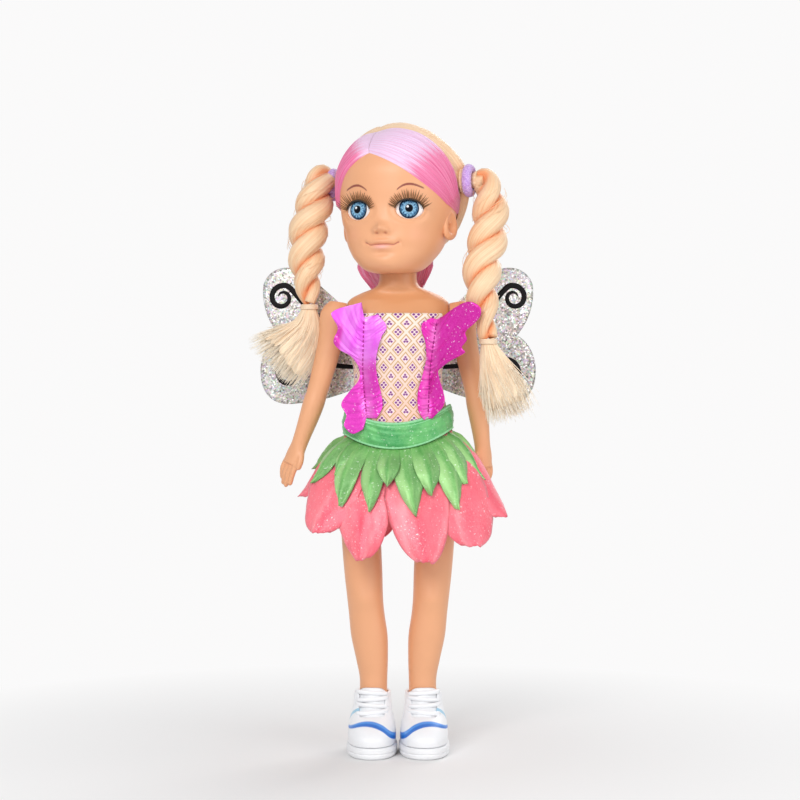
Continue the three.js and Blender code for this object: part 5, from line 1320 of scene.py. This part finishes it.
THIGH_HALF = 14.1
THIGH_OUT = PELVIS_HALF + TOUCH_GAP + THIGH_HALF
KNEE_X, KNEE_Z, KNEE_OUT = 21.6, 101, 1.2
LEG_TABLE = [
    [SOLE + 2, SHOE_OUT, -10, 11.4, 25, 25],
    [16, SHOE_OUT, -9, 12.2, 24, 25],
    [25, SHOE_OUT - 0.3, -5, 10.8, 16, 20],
    [34, SHOE_OUT - 0.6, -1, 9.5, 11.5, 13.5],
    [47, 16.4, 0, 9.2, 9.6, 10.6],
    [60, 17.4, 0, 10.6, 10.4, 13],
    [76, 19.2, 0, 12.2, 11.6, 15.6],
    [91, 21, 0, 11.9, 12.2, 13.8],
    [KNEE_Z, 22, 0, 12, 13.2, 12.6],
    [118, 23.2, 0, 12.7, 13.4, 13.2],
    [HIP_Z - 46, THIGH_OUT - 0.9, 0, THIGH_HALF - 0.9, 14.8, 15],
    [HIP_Z - 21, THIGH_OUT - 0.2, 0, THIGH_HALF - 0.2, 16.2, 16.4],
    [HIP_Z - 4, THIGH_OUT, 0, THIGH_HALF, 16.6, 16.6],
    [HIP_Z + 6, THIGH_OUT, 0, THIGH_HALF - 1.6, 15.4, 15.4],
    [HIP_Z + 12, THIGH_OUT - 0.6, 0, THIGH_HALF - 4.4, 11.6, 11.6],
    [HIP_Z + 16.2, THIGH_OUT - 2, 0, 5, 3.6, 3.6],
]


def on_side(table, side, squareness=2.0):
    return Loft([[z, side * x, *rest] for z, x, *rest in table], squareness)


def leg(side, name):
    """A leg and foot in one piece, with a knee, and flat where the thigh meets the pelvis."""
    form = on_side(LEG_TABLE, side)
    grid = form.rings(72, 170, form.low, form.high)
    x, z = grid[..., 0], grid[..., 2]
    grid[..., 1] -= KNEE_OUT * bump(x, z, side * KNEE_X, KNEE_Z, 8, 7) * (grid[..., 1] < 0)
    outward = side * np.maximum(side * x, PELVIS_HALF + TOUCH_GAP)
    grid[..., 0] = np.where(z > HIP_Z - 50, outward, x)
    skin = grid_object("leg_skin_" + name, grid, SKIN, CLOSED)
    wear(skin, "leg_" + name, "vinyl_skin", "leg_" + name)


# Shoes

SHOE_SQUARE = 2.35
SHOE_TABLE = [
    [SOLE + TOUCH_GAP, SHOE_OUT, -10, 15.8, 31.6, 29.2],
    [13, SHOE_OUT, -10, 16, 32, 29.6],
    [19, SHOE_OUT, -8, 15.4, 28, 27.6],
    [25, SHOE_OUT, -5, 14, 20.6, 24],
    [31, SHOE_OUT - 0.2, -2, 12.8, 16, 20],
    [39, SHOE_OUT - 0.4, 0, 12.2, 13.2, 17.4],
]
# How far the edge of the sole stands out, from the ground up
SOLE_RIMS = [[0, -0.8], [0.7, 0.3], [2.6, 0.9], [3.1, 0.45], [3.5, 0.45], [4.0, 1.0], [6.4, 0.9],
             [7.1, 0.3], [SOLE, -0.6]]
# Height and half width of the blue band, from the inner to the outer side of the toe
TOE_BAND = [[-18, 10.5, 2.0], [-12, 15.2, 1.7], [-7, 19.2, 1.45], [0, 21.5, 1.2], [8, 21.0, 0.9],
            [18, 16.6, 0.5]]
STROKE_RISE = 28.5
BAND_BLUE, BAND_SHINE, STROKE_BLUE = (0.02, 0.17, 0.62), (0.10, 0.36, 0.86), (0.16, 0.52, 0.74)
TONGUE_HALF, TONGUE_LOW, TONGUE_TOP = 8.6, 25, 42.6
LACES, LACE_PITCH, LACE_R = 4, 3.9, 1.5
SHOE_GAP, SHOE_VOXEL, THROAT_TOP = 0.8, 0.5, 60


def cut(obj, grid):
    """Takes a closed grid out of an object."""
    cutter = grid_object("cutter", grid, SHOE, CLOSED)
    settle(obj, ("BOOLEAN", {"object": cutter, "solver": "EXACT"}))
    bpy.data.objects.remove(cutter)


def shoe(side, name):
    """An upper hollowed for the foot and open at the throat, on a grooved sole."""
    sides = 96
    form, foot = on_side(SHOE_TABLE, side, SHOE_SQUARE), on_side(LEG_TABLE, side)
    x = side * SHOE_OUT
    throat = Loft([[TONGUE_LOW, x, -24, 8.2, 20, 20], [THROAT_TOP, x, -24, 9.4, 20, 20]], 6)
    shell = form.rings(sides, 30, form.low, form.high)
    upper = grid_object("sneaker_upper_" + name, shell, SHOE, CLOSED)
    cut(upper, foot.rings(sides, 40, foot.low, 70, SHOE_GAP))
    cut(upper, throat.rings(sides, 8, TONGUE_LOW, THROAT_TOP))
    moulded(upper, SHOE_VOXEL, 4)
    paint_shoe(upper, side)
    wear(upper, "leg_" + name, "shoe_vinyl", "shoe_upper_" + name)

    base = Loft([[0, *form.fields[0]], [10, *form.fields[0]]], SHOE_SQUARE)
    rims = through(SOLE_RIMS, np.linspace(0, SOLE, 40))
    made = grid_object("sneaker_sole_" + name, base.rings(sides, 40, 0, SOLE, rims), RUBBER, CLOSED)
    wear(made, "leg_" + name, "shoe_sole", "shoe_sole_" + name)
    tongue(side, name, foot, form)


def paint_shoe(obj, side):
    """A wavy blue band over the toe and a pale blue stroke on the outer side."""
    points = np.array([v.co for v in obj.data.vertices]) * 1000 - [AXIS[0], AXIS[1], 0]
    off = side * (points[:, 0] - side * SHOE_OUT)
    y, z = points[:, 1], points[:, 2]
    line, half = through(TOE_BAND, off).T
    band = (1 - smooth(np.abs(z - line), half, half + 0.7)) * (y < -12)
    paint = Paint((len(points),), SHOE_WHITE)
    paint.lay(band, BAND_BLUE)
    paint.lay(0.8 * band * smooth(z - line, -0.2, 0.8), BAND_SHINE)
    stroke = 1 - smooth(np.abs(z - (STROKE_RISE - 0.8 * (y + 16))), 1.6, 2.3)
    paint.lay(0.85 * stroke * (off > 5) * smooth(-y, 4, 6), STROKE_BLUE)
    lay_paint(obj.data, paint.value)


def tongue(side, name, foot, form):
    """A padded tongue, and flat laces that cross it from edge to edge of the throat."""
    across, level = np.linspace(-1, 1, 24)[None], shares(26)[:, None]
    corner = 1 - 0.22 * np.abs(across) ** 4 * smooth(level, 0.6, 1)
    z = TONGUE_LOW - 1.5 + (TONGUE_TOP - TONGUE_LOW + 1.5) * level * corner
    x = side * SHOE_OUT + across * (TONGUE_HALF + 1.2)
    inner = stacked(x, foot.front(x, z, SHOE_GAP + 0.1), z)
    outer = stacked(x, foot.front(x, z, SHOE_GAP + 1.2) - 0.9 * (1 - across**6), z)
    parts = Bundle()
    parts.add(np.concatenate([inner[:, ::-1], outer], 1), CLOSED)
    run = across[0]
    x = side * SHOE_OUT + run * (TONGUE_HALF + 2.4)
    radius = LACE_R * np.sqrt(np.clip(1 - run**12, 0.03, 1))
    for i in range(LACES):
        z = TONGUE_LOW + 2.6 + LACE_PITCH * i + (0.8 if i % 2 else -0.8) * run * side
        y = np.minimum(foot.front(x, z, 2.6), form.front(x, np.minimum(z, form.high), 0.25)) - 0.3
        parts.add(tube_grid(stacked(x, y, z), radius, 14, UPRIGHT, 0.55 * radius), CLOSED)
    made = parts.build("tongue_and_laces_" + name, SHOE)
    wear(made, "leg_" + name, "shoe_vinyl", "shoe_tongue_" + name)


# Dress

# Flat sizes as cut, and the thickness of cloth, tape, petals and film
BODICE_FLAT, BAND_FLAT, PETAL_FLAT, LEAF_FLAT = (172, 84), (220, 19), (220, 84), (190, 54)
FILM_FLAT, FILM_AREA = (42, 84), 2100
CLOTH_THICK, TAPE_THICK, PETAL_THICK, FILM_THICK = 0.6, 0.9, 0.4, 0.5
CLOSURE_HALF, CLOSURE_LONG, CLOSURE_OUT = 6, 69, 3.1
ARMHOLE_R, ARMHOLE_IN, ARMHOLE_OUT = 16.5, 23, 27
# Height at which the print is measured round the trunk
PRINT_Z = 250
BAND_OUT, BAND_PUFF = 3.0, 1.1
# Rows of the waistband that carry piping, and its radius
PIPING_ROWS = [(-1, 0.95), (1, 0.8), (-4, 0.35)]


def bodice():
    """A printed tube with scooped armholes, hemmed at its top and its foot."""
    turn = np.linspace(-np.pi, np.pi, 260)
    level = shares(60)[:, None]
    probe = TRUNK.point(turn, SHOULDER_Z - 8, CLOTH_OUT)
    scoop = SHOULDER_Z + 2 - np.sqrt(np.clip(ARMHOLE_R**2 - probe[:, 1] ** 2, 0, None))
    beside = smooth(np.abs(probe[:, 0]), ARMHOLE_IN, ARMHOLE_OUT)
    top = np.minimum(BODICE_TOP, BODICE_TOP * (1 - beside) + np.minimum(scoop, BODICE_TOP) * beside)
    z = BODICE_LOW + (top[None] - BODICE_LOW) * level
    crease = 0.22 * wave(turn[None] * 7 + z * 0.12, 61) + 0.18 * wave(z * 0.3 + turn[None] * 2, 62)
    hem = 0.45 * smooth(level, 0.955, 0.97) + 0.35 * smooth(0.03 - level, 0, 0.01)
    grid = TRUNK.point(turn[None], z, CLOTH_OUT - 0.4 + crease + hem)
    u = run_length(TRUNK.point(turn, PRINT_Z, CLOTH_OUT))
    uv = stacked((u - u[-1] / 2)[None], z)
    made = thicken(grid_object("printed_bodice", grid, PRINT, OPEN, uv), CLOTH_THICK)
    declare(made, *BODICE_FLAT, "stretched", ["trunk_skin"])
    wear(made, "torso", "bodice_print", "bodice")


def closure_tape():
    """The hook tape that closes the bodice down the back."""
    strip = np.linspace(-1, 1, 24)[None]
    heights = np.linspace(BAND_TOP + 2, BODICE_TOP - 2, 60)[:, None]
    across = strip * CLOSURE_HALF / (TRUNK.at(heights)[2] + CLOSURE_OUT)
    turn = np.pi - np.arcsin(signed_power(across, TRUNK.squareness / 2))
    back = TRUNK.point(turn, heights, CLOSURE_OUT + 0.5 * (1 - strip**8))
    tape = thicken(grid_object("back_closure_tape", back, TAPE), TAPE_THICK)
    declare(tape, 2 * CLOSURE_HALF, CLOSURE_LONG, "laid", ["printed_bodice"])
    wear(tape, "torso", "hook_tape", "bodice_closure")


def band_tilt(x):
    """The waistband dips at the front and sits a little higher on the doll's left."""
    return -3.0 + 10 * (x / 34) ** 2 + 0.05 * x


def waistband():
    """A puffed satin band with piping along its edges."""
    turn, level = np.linspace(-np.pi, np.pi, 240)[None], shares(26)[:, None]
    z = BAND_LOW + (BAND_TOP - BAND_LOW + 1.0) * level
    pull = 0.35 * wave(z * 0.5 + turn * 1.5, 71) + 0.3 * wave(turn * 11 + z * 0.2, 72)
    puff = BAND_PUFF * np.sin(np.pi * level) ** 0.6
    grid = TRUNK.point(turn, z, BAND_OUT + puff + pull)
    grid[..., 2] += band_tilt(grid[..., 0])
    made = grid_object("green_waistband", grid, GREEN, OPEN, stacked(turn * 32, z))
    declare(thicken(made, CLOTH_THICK), *BAND_FLAT, "stretched", ["printed_bodice"])
    wear(made, "torso", "green_satin", "waistband")
    rolls = Bundle()
    for row, radius in PIPING_ROWS:
        rolls.add(tube_grid(grid[row], radius, 10, UPRIGHT), TUBE)
    wear(rolls.build("waist_piping", PIPING), "torso", "green_satin")


SKIRT_TOP = BAND_LOW - TOUCH_GAP
SKIRT_RING = TRUNK.at(SKIRT_TOP)
# Two heights given for each half of the skirt: just below its top, and lower down
SKIRT_STAYS, SKIRT_SWINGS = (0, 0, SKIRT_TOP - 2), (0, 0, SKIRT_TOP - 34)
FLARE_FRONT, FLARE_SIDE = 0.42, 0.56
# The hands press the skirt in at this angle from the front, over this spread, by this share
HAND_DEGREES, HAND_SPREAD, HAND_PRESS = 112, 17, 0.84


def skirt_point(turn, drop, grow):
    """A place on a flared layer: radians round from the front, drop, and the layer's growth."""
    flare = FLARE_FRONT + FLARE_SIDE * np.sin(turn) ** 4
    round_deg = np.degrees(np.abs(np.arctan2(np.sin(turn), np.cos(turn))))
    pressed = 1 - HAND_PRESS * np.exp(-(((round_deg - HAND_DEGREES) / HAND_SPREAD) ** 2))
    out = flare * drop * (1 - drop / 300) * pressed + grow
    _, y, wide, front, back = SKIRT_RING
    ahead = np.where(np.cos(turn) > 0, front, back)
    return stacked((wide + out) * np.sin(turn), y - (ahead + out) * np.cos(turn), SKIRT_TOP - drop)


# Petals and leaves: degrees round from the front, drop and width
PETALS = [
    (-78, 35, 32), (-49, 58, 36), (-27, 74, 38), (14, 76, 44), (45, 66, 40), (72, 48, 34),
    (-112, 46, 34), (-140, 60, 38), (-165, 66, 40), (165, 66, 40), (140, 60, 38), (112, 46, 34),
]
LEAVES = [
    (-82, 17, 13), (-64, 26, 14), (-53, 20, 12), (-42, 40, 15), (-21, 43, 15), (-8, 27, 13),
    (8, 46, 17), (24, 33, 15), (41, 42, 16), (53, 26, 13), (67, 24, 15), (81, 16, 13),
    (-100, 24, 15), (-120, 32, 16), (-140, 38, 16), (-160, 40, 16),
    (180, 40, 16), (160, 40, 16), (140, 38, 16), (120, 32, 16), (100, 24, 15),
]
LEAF_FORM = [[0, 0.86], [0.25, 0.96], [0.5, 1], [0.75, 0.70], [0.9, 0.34], [1, 0.03]]
PETAL_FORM = [[0, 0.55], [0.2, 0.8], [0.45, 1], [0.7, 0.97], [0.86, 0.80], [0.95, 0.58], [1, 0.34]]
PETAL_FOLD, LEAF_FOLD = 0.8, 2.6
WAIST_OUT, PETAL_OUT, LEAF_OUT = 2.2, 4.4, 7.4
# Cloth as cut against width times drop: a leaf slants and folds, so it is larger than it hangs
PETAL_CUT, LEAF_CUT = 1.0, 1.25


def petal_shade(u, v, bias, sharp, seed, lit_and_shaded):
    """Painted light and shade: a lit and a shaded side of the fold, painted shade in the gathers at
    the waist, and pale streaks.
    """
    dark, pale = lit_and_shaded
    shade = Paint((v.size, u.size), pale)
    shade.lay(0.75 * smooth(bias - u, 0.05, 0.4) * smooth(v, 0.1, 0.4) * sharp, pale)
    shade.lay(0.7 * smooth(u - bias, 0.0, 0.3) * smooth(v, 0.05, 0.3) * sharp, dark)
    shade.lay(0.55 * smooth(wave(u * 9 + seed, seed + 7), 0.0, 0.8) * (1 - smooth(v, 0.1, 0.5)), dark)
    streaks = smooth(wave(u * 4 + v * 3 + seed, seed + 9), 0.25, 0.9)
    shade.lay(0.5 * streaks * smooth(v, 0.3, 0.6), pale)
    return shade.value


def petal_grid(turn_deg, drop, width, grow, form, fold, seed, lit_and_shaded):
    """One petal: gathered at the waist, full in the middle and drawn to its tip."""
    v, u = shares(34)[:, None], np.linspace(-1, 1, 19)[None]
    rng = np.random.default_rng(seed)
    lean, bias = rng.uniform(-0.09, 0.09), rng.uniform(-0.12, 0.12)
    half = width / 2 * through(form, v[:, 0]) * (1 + bias * u * smooth(v, 0.3, 1))
    edge = 0.03 * wave(v * 14 + seed, seed + 1) * np.abs(u) * (1 - smooth(v, 0.6, 0.95))
    length = drop * (v + 0.02 * wave(u * 1.6 + seed, seed + 2) * v)
    turn = math.radians(turn_deg) + half * (u + edge) / (33 + 0.55 * length) + lean * v * v
    ridge = fold * (1 - np.abs(u - bias)) * smooth(v, 0, 0.25)
    cup = 0.08 * width * u**2 * smooth(v, 0.35, 1)
    crease = 0.55 * wave(u * 5 + v * 2 + seed, seed + 3) * v + 0.4 * wave(v * 9 + u * 3, seed + 5) * v
    lift = WAIST_OUT + (grow - WAIST_OUT) * smooth(v, 0, 0.62)
    points = skirt_point(turn, length, lift + ridge - cup + crease)
    points[..., 2] += band_tilt(points[..., 0] * (1 - 0.5 * v)) * (1 - smooth(v, 0.0, 0.9)) + 0.5
    shade = petal_shade(u, v, bias, fold / LEAF_FOLD, seed, lit_and_shaded)
    return points, OPEN, stacked(half * u + seed * 37.0, length), shade


def skirt_layer(label, sizes, grow, form, fold, material, lit_and_shaded, node, flat, as_cut):
    """A ring of petals in two halves, one for each side."""
    for side, name in SIDES.items():
        layer = Bundle()
        area = 0
        for i, (turn, drop, width) in enumerate(sizes):
            if (math.sin(math.radians(turn)) >= 0) == (side > 0):
                layer.add(*petal_grid(turn, drop, width, grow + i % 2, form, fold, i + 11, lit_and_shaded))
                area += as_cut * width * drop
        made = layer.build(label + "_" + name, material)
        settle(made, ("SOLIDIFY", {"thickness": PETAL_THICK * MM, "offset": 0}))
        bend(made, node, SKIRT_STAYS, SKIRT_SWINGS)
        declare(made, *flat, "gathered", ["green_waistband"], area)


def skirt():
    skirt_layer("organza_petals", PETALS, PETAL_OUT, PETAL_FORM, PETAL_FOLD, PETAL, PETAL_LIT_AND_SHADED,
                "petal_layer", PETAL_FLAT, PETAL_CUT)
    skirt_layer("satin_leaves", LEAVES, LEAF_OUT, LEAF_FORM, LEAF_FOLD, LEAF, LEAF_LIT_AND_SHADED,
                "leaf_layer", LEAF_FLAT, LEAF_CUT)


# Butterflies: seam, outer edge and inner edge on each side, as x from the middle and height
BUTTERFLY = {
    -1: {
        "seam": [(22.4, 288), (23, 270), (23.2, 250), (20.7, 222)],
        "outer": [(24, 298), (43.4, 291), (39.6, 281), (42.4, 272), (38.8, 267), (31.5, 263),
                  (25.9, 255), (25.9, 247), (31.5, 240), (37.4, 231), (34, 223.5), (35.5, 217),
                  (30, 211.5), (22.8, 214.5)],
        "inner": [(13.2, 290), (7.5, 282), (10.8, 275.5), (14.4, 261.3), (14, 250.2), (11.6, 240),
                  (10.2, 229.5), (14, 221.5)],
        "lift": 0.30,
    },
    1: {
        "seam": [(25.8, 287), (23, 268), (21, 250), (19.8, 221.6)],
        "outer": [(30, 289), (37.7, 294.5), (46.4, 298), (53.6, 294), (53.2, 287.5), (44.1, 278.4),
                  (45, 273), (41.7, 268), (44.1, 265), (37.7, 262.6), (29.7, 259), (26.4, 254),
                  (27, 248.6), (30.5, 232), (22.6, 221.5)],
        "inner": [(22, 288), (16.2, 284.4), (15.4, 279.6), (17.8, 272.5), (18.6, 261.3), (16.2, 250.2),
                  (13, 238.3), (13.4, 227.1), (17, 220.4)],
        "lift": 0.42,
    },
}
FILM_OUT = CLOTH_OUT + 1.2
# From the middle: two places given for the film, the second past its edge
FILM_FREE, FILM_REACH = 33, 112
STITCH_R, STITCH_OUT = 0.34, 0.55
# The deep dye, and the lilac of the painted highlight, which also tints all of the doll's right film a
# little
FILM_DEEP, FILM_LILAC = np.array([0.60, 0.003, 0.33]), np.array([0.78, 0.10, 0.78])


def film_paint(side, reach, free, z):
    """Deep dye, with a lilac painted highlight on the upper part of the doll's right film."""
    # Painted highlight on the upper part of the doll's right film, left off far out toward its free
    # edge
    matt = smooth(reach * free, 14, 17) * smooth(287 - z, 0, 8)
    painted_shine = (side < 0) * smooth(z, 252, 266) * (1 - matt)
    dye_and_highlight = FILM_DEEP + (FILM_LILAC - FILM_DEEP) * (0.22 * (side < 0) + 0.78 * painted_shine)[..., None]
    return coat(z.shape, dye_and_highlight, np.clip((1 - painted_shine) * (0.35 + 0.65 * smooth(reach, 2, 7)), 0, 1))


def stitching(name, line):
    """Short stitches along a line, one at every fifth point."""
    stitches = Bundle()
    for k in range(4, len(line) - 6, 5):
        stitches.add(tube_grid(line[k:k + 4], STITCH_R, 6), CLOSED)
    wear(stitches.build("seam_stitches_" + name, THREAD), "torso", "magenta_film")


def butterfly(side, name):
    """Film wings that open to both sides of a stitched seam down the bodice."""
    shape = BUTTERFLY[side]
    rows, cols = 110, 26
    seam, outer, inner = (path_through(shape[k], rows)[:, None] for k in ("seam", "outer", "inner"))
    out = shares(cols)[None, :, None]
    beside = seam * (1 - out) + outer * out
    inside = seam * (1 - out[:, 1:]) + inner * out[:, 1:]
    flat = np.concatenate([inside[:, ::-1], beside], 1)
    free = (np.arange(2 * cols - 1) >= cols - 1)[None]
    reach = np.linalg.norm(flat - seam, axis=-1)
    x, z = side * flat[..., 0], flat[..., 1]
    row = shares(rows)[:, None]
    chest = TRUNK.front(x, z, FILM_OUT)
    at_seam = TRUNK.front(side * seam[..., 0], seam[..., 1], FILM_OUT)
    y = np.where(free, np.minimum(at_seam - shape["lift"] * reach, chest), chest - 0.05 * reach)
    pleat = wave(row * 16 + reach * 0.12, 81 + side) * smooth(reach, 0, 8)
    gather = 0.5 * wave(row * 60, 83) * np.exp(-((reach / 5) ** 2))
    y = y - 0.75 * pleat - gather - 0.48 * np.exp(-((reach / 1.6) ** 2))
    points = stacked(x, y, z)
    paint = film_paint(side, reach, free, z)
    uv = stacked(reach * np.where(free, 1, -1) + side * 80, z)
    grid, uv, paint = (part[:, ::side] for part in (points, uv, paint))
    made = grid_object("butterfly_film_" + name, grid, SATIN, OPEN, uv, paint)
    settle(made, ("SOLIDIFY", {"thickness": FILM_THICK * MM, "offset": 0}))
    bend(made, "butterfly_" + name,
         (side * FILM_FREE, 0, 0), (side * FILM_REACH, 0, 0))
    declare(made, *FILM_FLAT, "stretched", ["printed_bodice"], FILM_AREA)
    stitching(name, points[:, cols - 1] - [0, STITCH_OUT, 0])


# Wings

WING_SPAN, WING_HIGH, WING_LOW, WING_NOTCH = 95, SHOULDER_Z + 35, SHOULDER_Z - 59, SHOULDER_Z - 12
WING_SWEEP = math.radians(6)
WING_BACK = TRUNK.at(WING_ROOT)[1] + TRUNK.at(WING_ROOT)[4]
WING_THICK, WING_GAP, WING_TAPE_GAP = 0.6, 4.6, 6.3
WING_TAPE_HALF, WING_TAPE_TALL = 5, 14
# The place that the rings of the film close in on
WING_MIDDLE = np.array([26, WING_ROOT + 2])
# Half width of a curl, how far its edge stands off the film, and how much more its middle does
CURL_HALF, CURL_EDGE, CURL_RISE = 1.75, 0.36, 0.5


def bezier(a, b, c, d, count=40):
    t = np.linspace(0, 1, count, endpoint=False)[:, None]
    a, b, c, d = (np.array(p, float) for p in (a, b, c, d))
    return (1 - t) ** 3 * a + 3 * (1 - t) ** 2 * t * b + 3 * (1 - t) * t**2 * c + t**3 * d


def wing_outline():
    tip, high, low, notch, root = WING_SPAN, WING_HIGH, WING_LOW, WING_NOTCH, WING_ROOT
    return np.concatenate([
        bezier((5, root + 8), (25, root + 22), (42, high - 22), (tip - 33, high - 6)),
        bezier((tip - 33, high - 6), (tip - 22, high + 3), (tip - 6, high + 1), (tip - 2, high - 12)),
        bezier((tip - 2, high - 12), (tip, high - 26), (tip - 6, notch + 8), (tip - 13, notch)),
        bezier((tip - 13, notch), (tip - 4, notch - 4), (tip + 1, notch - 16), (tip, low + 20)),
        bezier((tip, low + 20), (tip - 1, low + 6), (tip - 9, low - 1), (tip - 22, low)),
        bezier((tip - 22, low), (tip - 50, low + 2), (30, low + 10), (5, root - 9)),
        bezier((5, root - 9), (1, root - 8), (1, root + 7), (5, root + 8), 20),
    ])


def on_wing(flat, side):
    """A place of the flat wing pattern on the swept, slightly waved film."""
    x, z = flat[..., 0], flat[..., 1]
    ripple = 0.9 * np.sin(x * 0.075) * np.sin((z - WING_ROOT) * 0.045) * smooth(x, 8, 40)
    depth = WING_BACK + WING_GAP + x * math.sin(WING_SWEEP) + ripple
    return stacked(side * x * math.cos(WING_SWEEP), depth, z)


def curl(stem, middle, radius, start_deg, turns):
    """A printed curl: a stem that runs into a spiral, with its half width along it."""
    run = shares(60)
    angle = math.radians(start_deg) - 2 * np.pi * turns * run
    shrink = radius * (1 - 0.72 * run)[:, None]
    spiral = middle + shrink * stacked(np.cos(angle), np.sin(angle))
    path = path_through(np.concatenate([stem, spiral[::4]]), 120)
    share = shares(len(path))
    blunt = np.sqrt(np.clip(1 - share**14, 0.05, 1))
    return path, CURL_HALF * (0.75 + 0.35 * np.sin(np.pi * share)) * blunt


CURLS = [
    curl([(40, 279), (54, 289), (66, 301)], (80, 304), 8.6, 118, 1.35),
    curl([(22, 256), (40, 257), (58, 260)], (75, 252), 10.0, 128, 1.35),
]


def wing(side, name):
    """A film with two curls, which are printed alike on both of its faces."""
    spokes = (wing_outline() - WING_MIDDLE)[None]
    flat = WING_MIDDLE + spokes * np.linspace(0.02, 1, 26)[:, None, None]
    film = grid_object("glitter_wing_" + name, on_wing(flat, side)[:, ::side], WING, TUBE)
    wear(thicken(film, WING_THICK), "torso", "wing_film", "wing_" + name)
    across = np.linspace(-1, 1, 9)
    raised = (CURL_EDGE + CURL_RISE * (1 - across**4))[None, :, None] * [0, 1, 0]
    prints = Bundle()
    for path, half in CURLS:
        tangent = unit(np.gradient(path, axis=0))
        normal = stacked(-tangent[:, 1], tangent[:, 0])
        aside = normal[:, None] * (half[:, None] * across)[..., None]
        strip = on_wing(path[:, None] + aside, side)
        for face in (1, -1):
            prints.add((strip - face * raised)[:, ::-face * side])
    wear(prints.build("wing_curls_" + name, CURL), "torso", "wing_film")


def wing_band():
    """The tape that holds both wings to the back of the bodice."""
    tall, wide = np.linspace(-1, 1, 30)[:, None], np.linspace(-1, 1, 14)[None]
    depth = WING_BACK + WING_TAPE_GAP + 0.7 * (1 - wide**6) * (1 - tall**10)
    patch = stacked(WING_TAPE_HALF * wide, depth, WING_ROOT + WING_TAPE_TALL * tall)
    tape = thicken(grid_object("wing_band_tape", patch[:, ::-1], TAPE), TAPE_THICK)
    rests_on = ["glitter_wing_left", "glitter_wing_right"]
    declare(tape, 2 * WING_TAPE_HALF, 2 * WING_TAPE_TALL, "laid", rests_on)
    wear(tape, "torso", "hook_tape", "wing_band")


# Stage

FLOOR_Z, FLOOR_REACH = -0.0002, 3.0
FADE_FROM, FADE_TO = 0.10, 0.42
BACKDROP, FLOOR_TONE, SKY_LIGHT = (0.96, 0.955, 0.955), (0.86, 0.855, 0.85), (0.97, 0.98, 1.0)
WORLD_STRENGTH = 0.5
# Name, place in metres, size and power
LAMPS = [
    ("key", (-0.52, -1.65, 1.05), 0.75, 17.0),
    ("fill", (0.9, -0.9, 0.5), 0.9, 4.0),
    ("rim", (0.5, 0.9, 0.9), 0.6, 5.0),
]
LAMP_TARGET = Vector((0, 0, 0.24))
CAMERA_AWAY, CAMERA_ASIDE, CAMERA_HEIGHT, FRAME_WIDTH = 1.3, 0.0013, 0.2337, 0.536


def floor():
    mesh = bpy.data.meshes.new("floor")
    r = FLOOR_REACH
    corners = [(x, y, FLOOR_Z) for x, y in ((-r, -r), (r, -r), (r, r), (-r, r))]
    mesh.from_pydata(corners, [], [[0, 1, 2, 3]])
    put("floor", mesh)
    made = Shader("pale_floor", Roughness=0.9)
    made.colour(FLOOR_TONE)
    flat = made.scaled(made.node("TexCoord").outputs["Object"], (1, 1, 0))
    far = made.node("VectorMath", {0: flat}, operation="LENGTH").outputs["Value"]
    fade = made.times(made.range(far, FADE_FROM, FADE_TO), made.seen())
    white = made.node("Emission", {"Color": BACKDROP, "Strength": 1.0})
    mixed = made.node("MixShader", {0: fade, 1: made.base.outputs[0], 2: white.outputs[0]})
    made.feed(made.tree.nodes["Material Output"].inputs[0], mixed.outputs[0])
    mesh.materials.append(made.material)


def sky():
    world = bpy.data.worlds.new("studio")
    bpy.context.scene.world = world
    world.use_nodes = True
    made = Nodes(world.node_tree)
    light = made.tree.nodes["Background"]
    made.feed(light.inputs[0], SKY_LIGHT)
    made.feed(light.inputs[1], WORLD_STRENGTH)
    backdrop = made.node("Background", {0: BACKDROP})
    choose = made.node("MixShader", {0: made.seen(), 1: light.outputs[0], 2: backdrop.outputs[0]})
    made.feed(made.tree.nodes["World Output"].inputs[0], choose.outputs[0])


def lamps():
    for name, place, size, power in LAMPS:
        data = bpy.data.lights.new(name, "AREA")
        data.energy = power
        data.size = size
        lamp = put(name, data)
        lamp.location = place
        lamp.rotation_euler = (LAMP_TARGET - Vector(place)).to_track_quat("-Z", "Y").to_euler()


def camera():
    data = bpy.data.cameras.new("photo_view")
    data.sensor_width = 36
    data.lens = data.sensor_width * CAMERA_AWAY / FRAME_WIDTH
    view = put("photo_view", data)
    view.location = (AXIS[0] * MM + CAMERA_ASIDE, AXIS[1] * MM - CAMERA_AWAY, CAMERA_HEIGHT)
    view.rotation_euler = (math.pi / 2, 0, 0)
    bpy.context.scene.camera = view


def both(*makers):
    """Calls each maker for the doll's right side and then for the left."""
    for make in makers:
        for side, name in SIDES.items():
            make(side, name)


camera()
floor()
sky()
lamps()
head()
both(ear, eye, lashes, fringe)
cap()
nape_lock()
both(terry_tie, twist)
torso()
both(arm, leg, shoe)
bodice()
closure_tape()
waistband()
skirt()
both(butterfly, wing)
wing_band()
bpy.context.scene.view_settings.view_transform = "Standard"
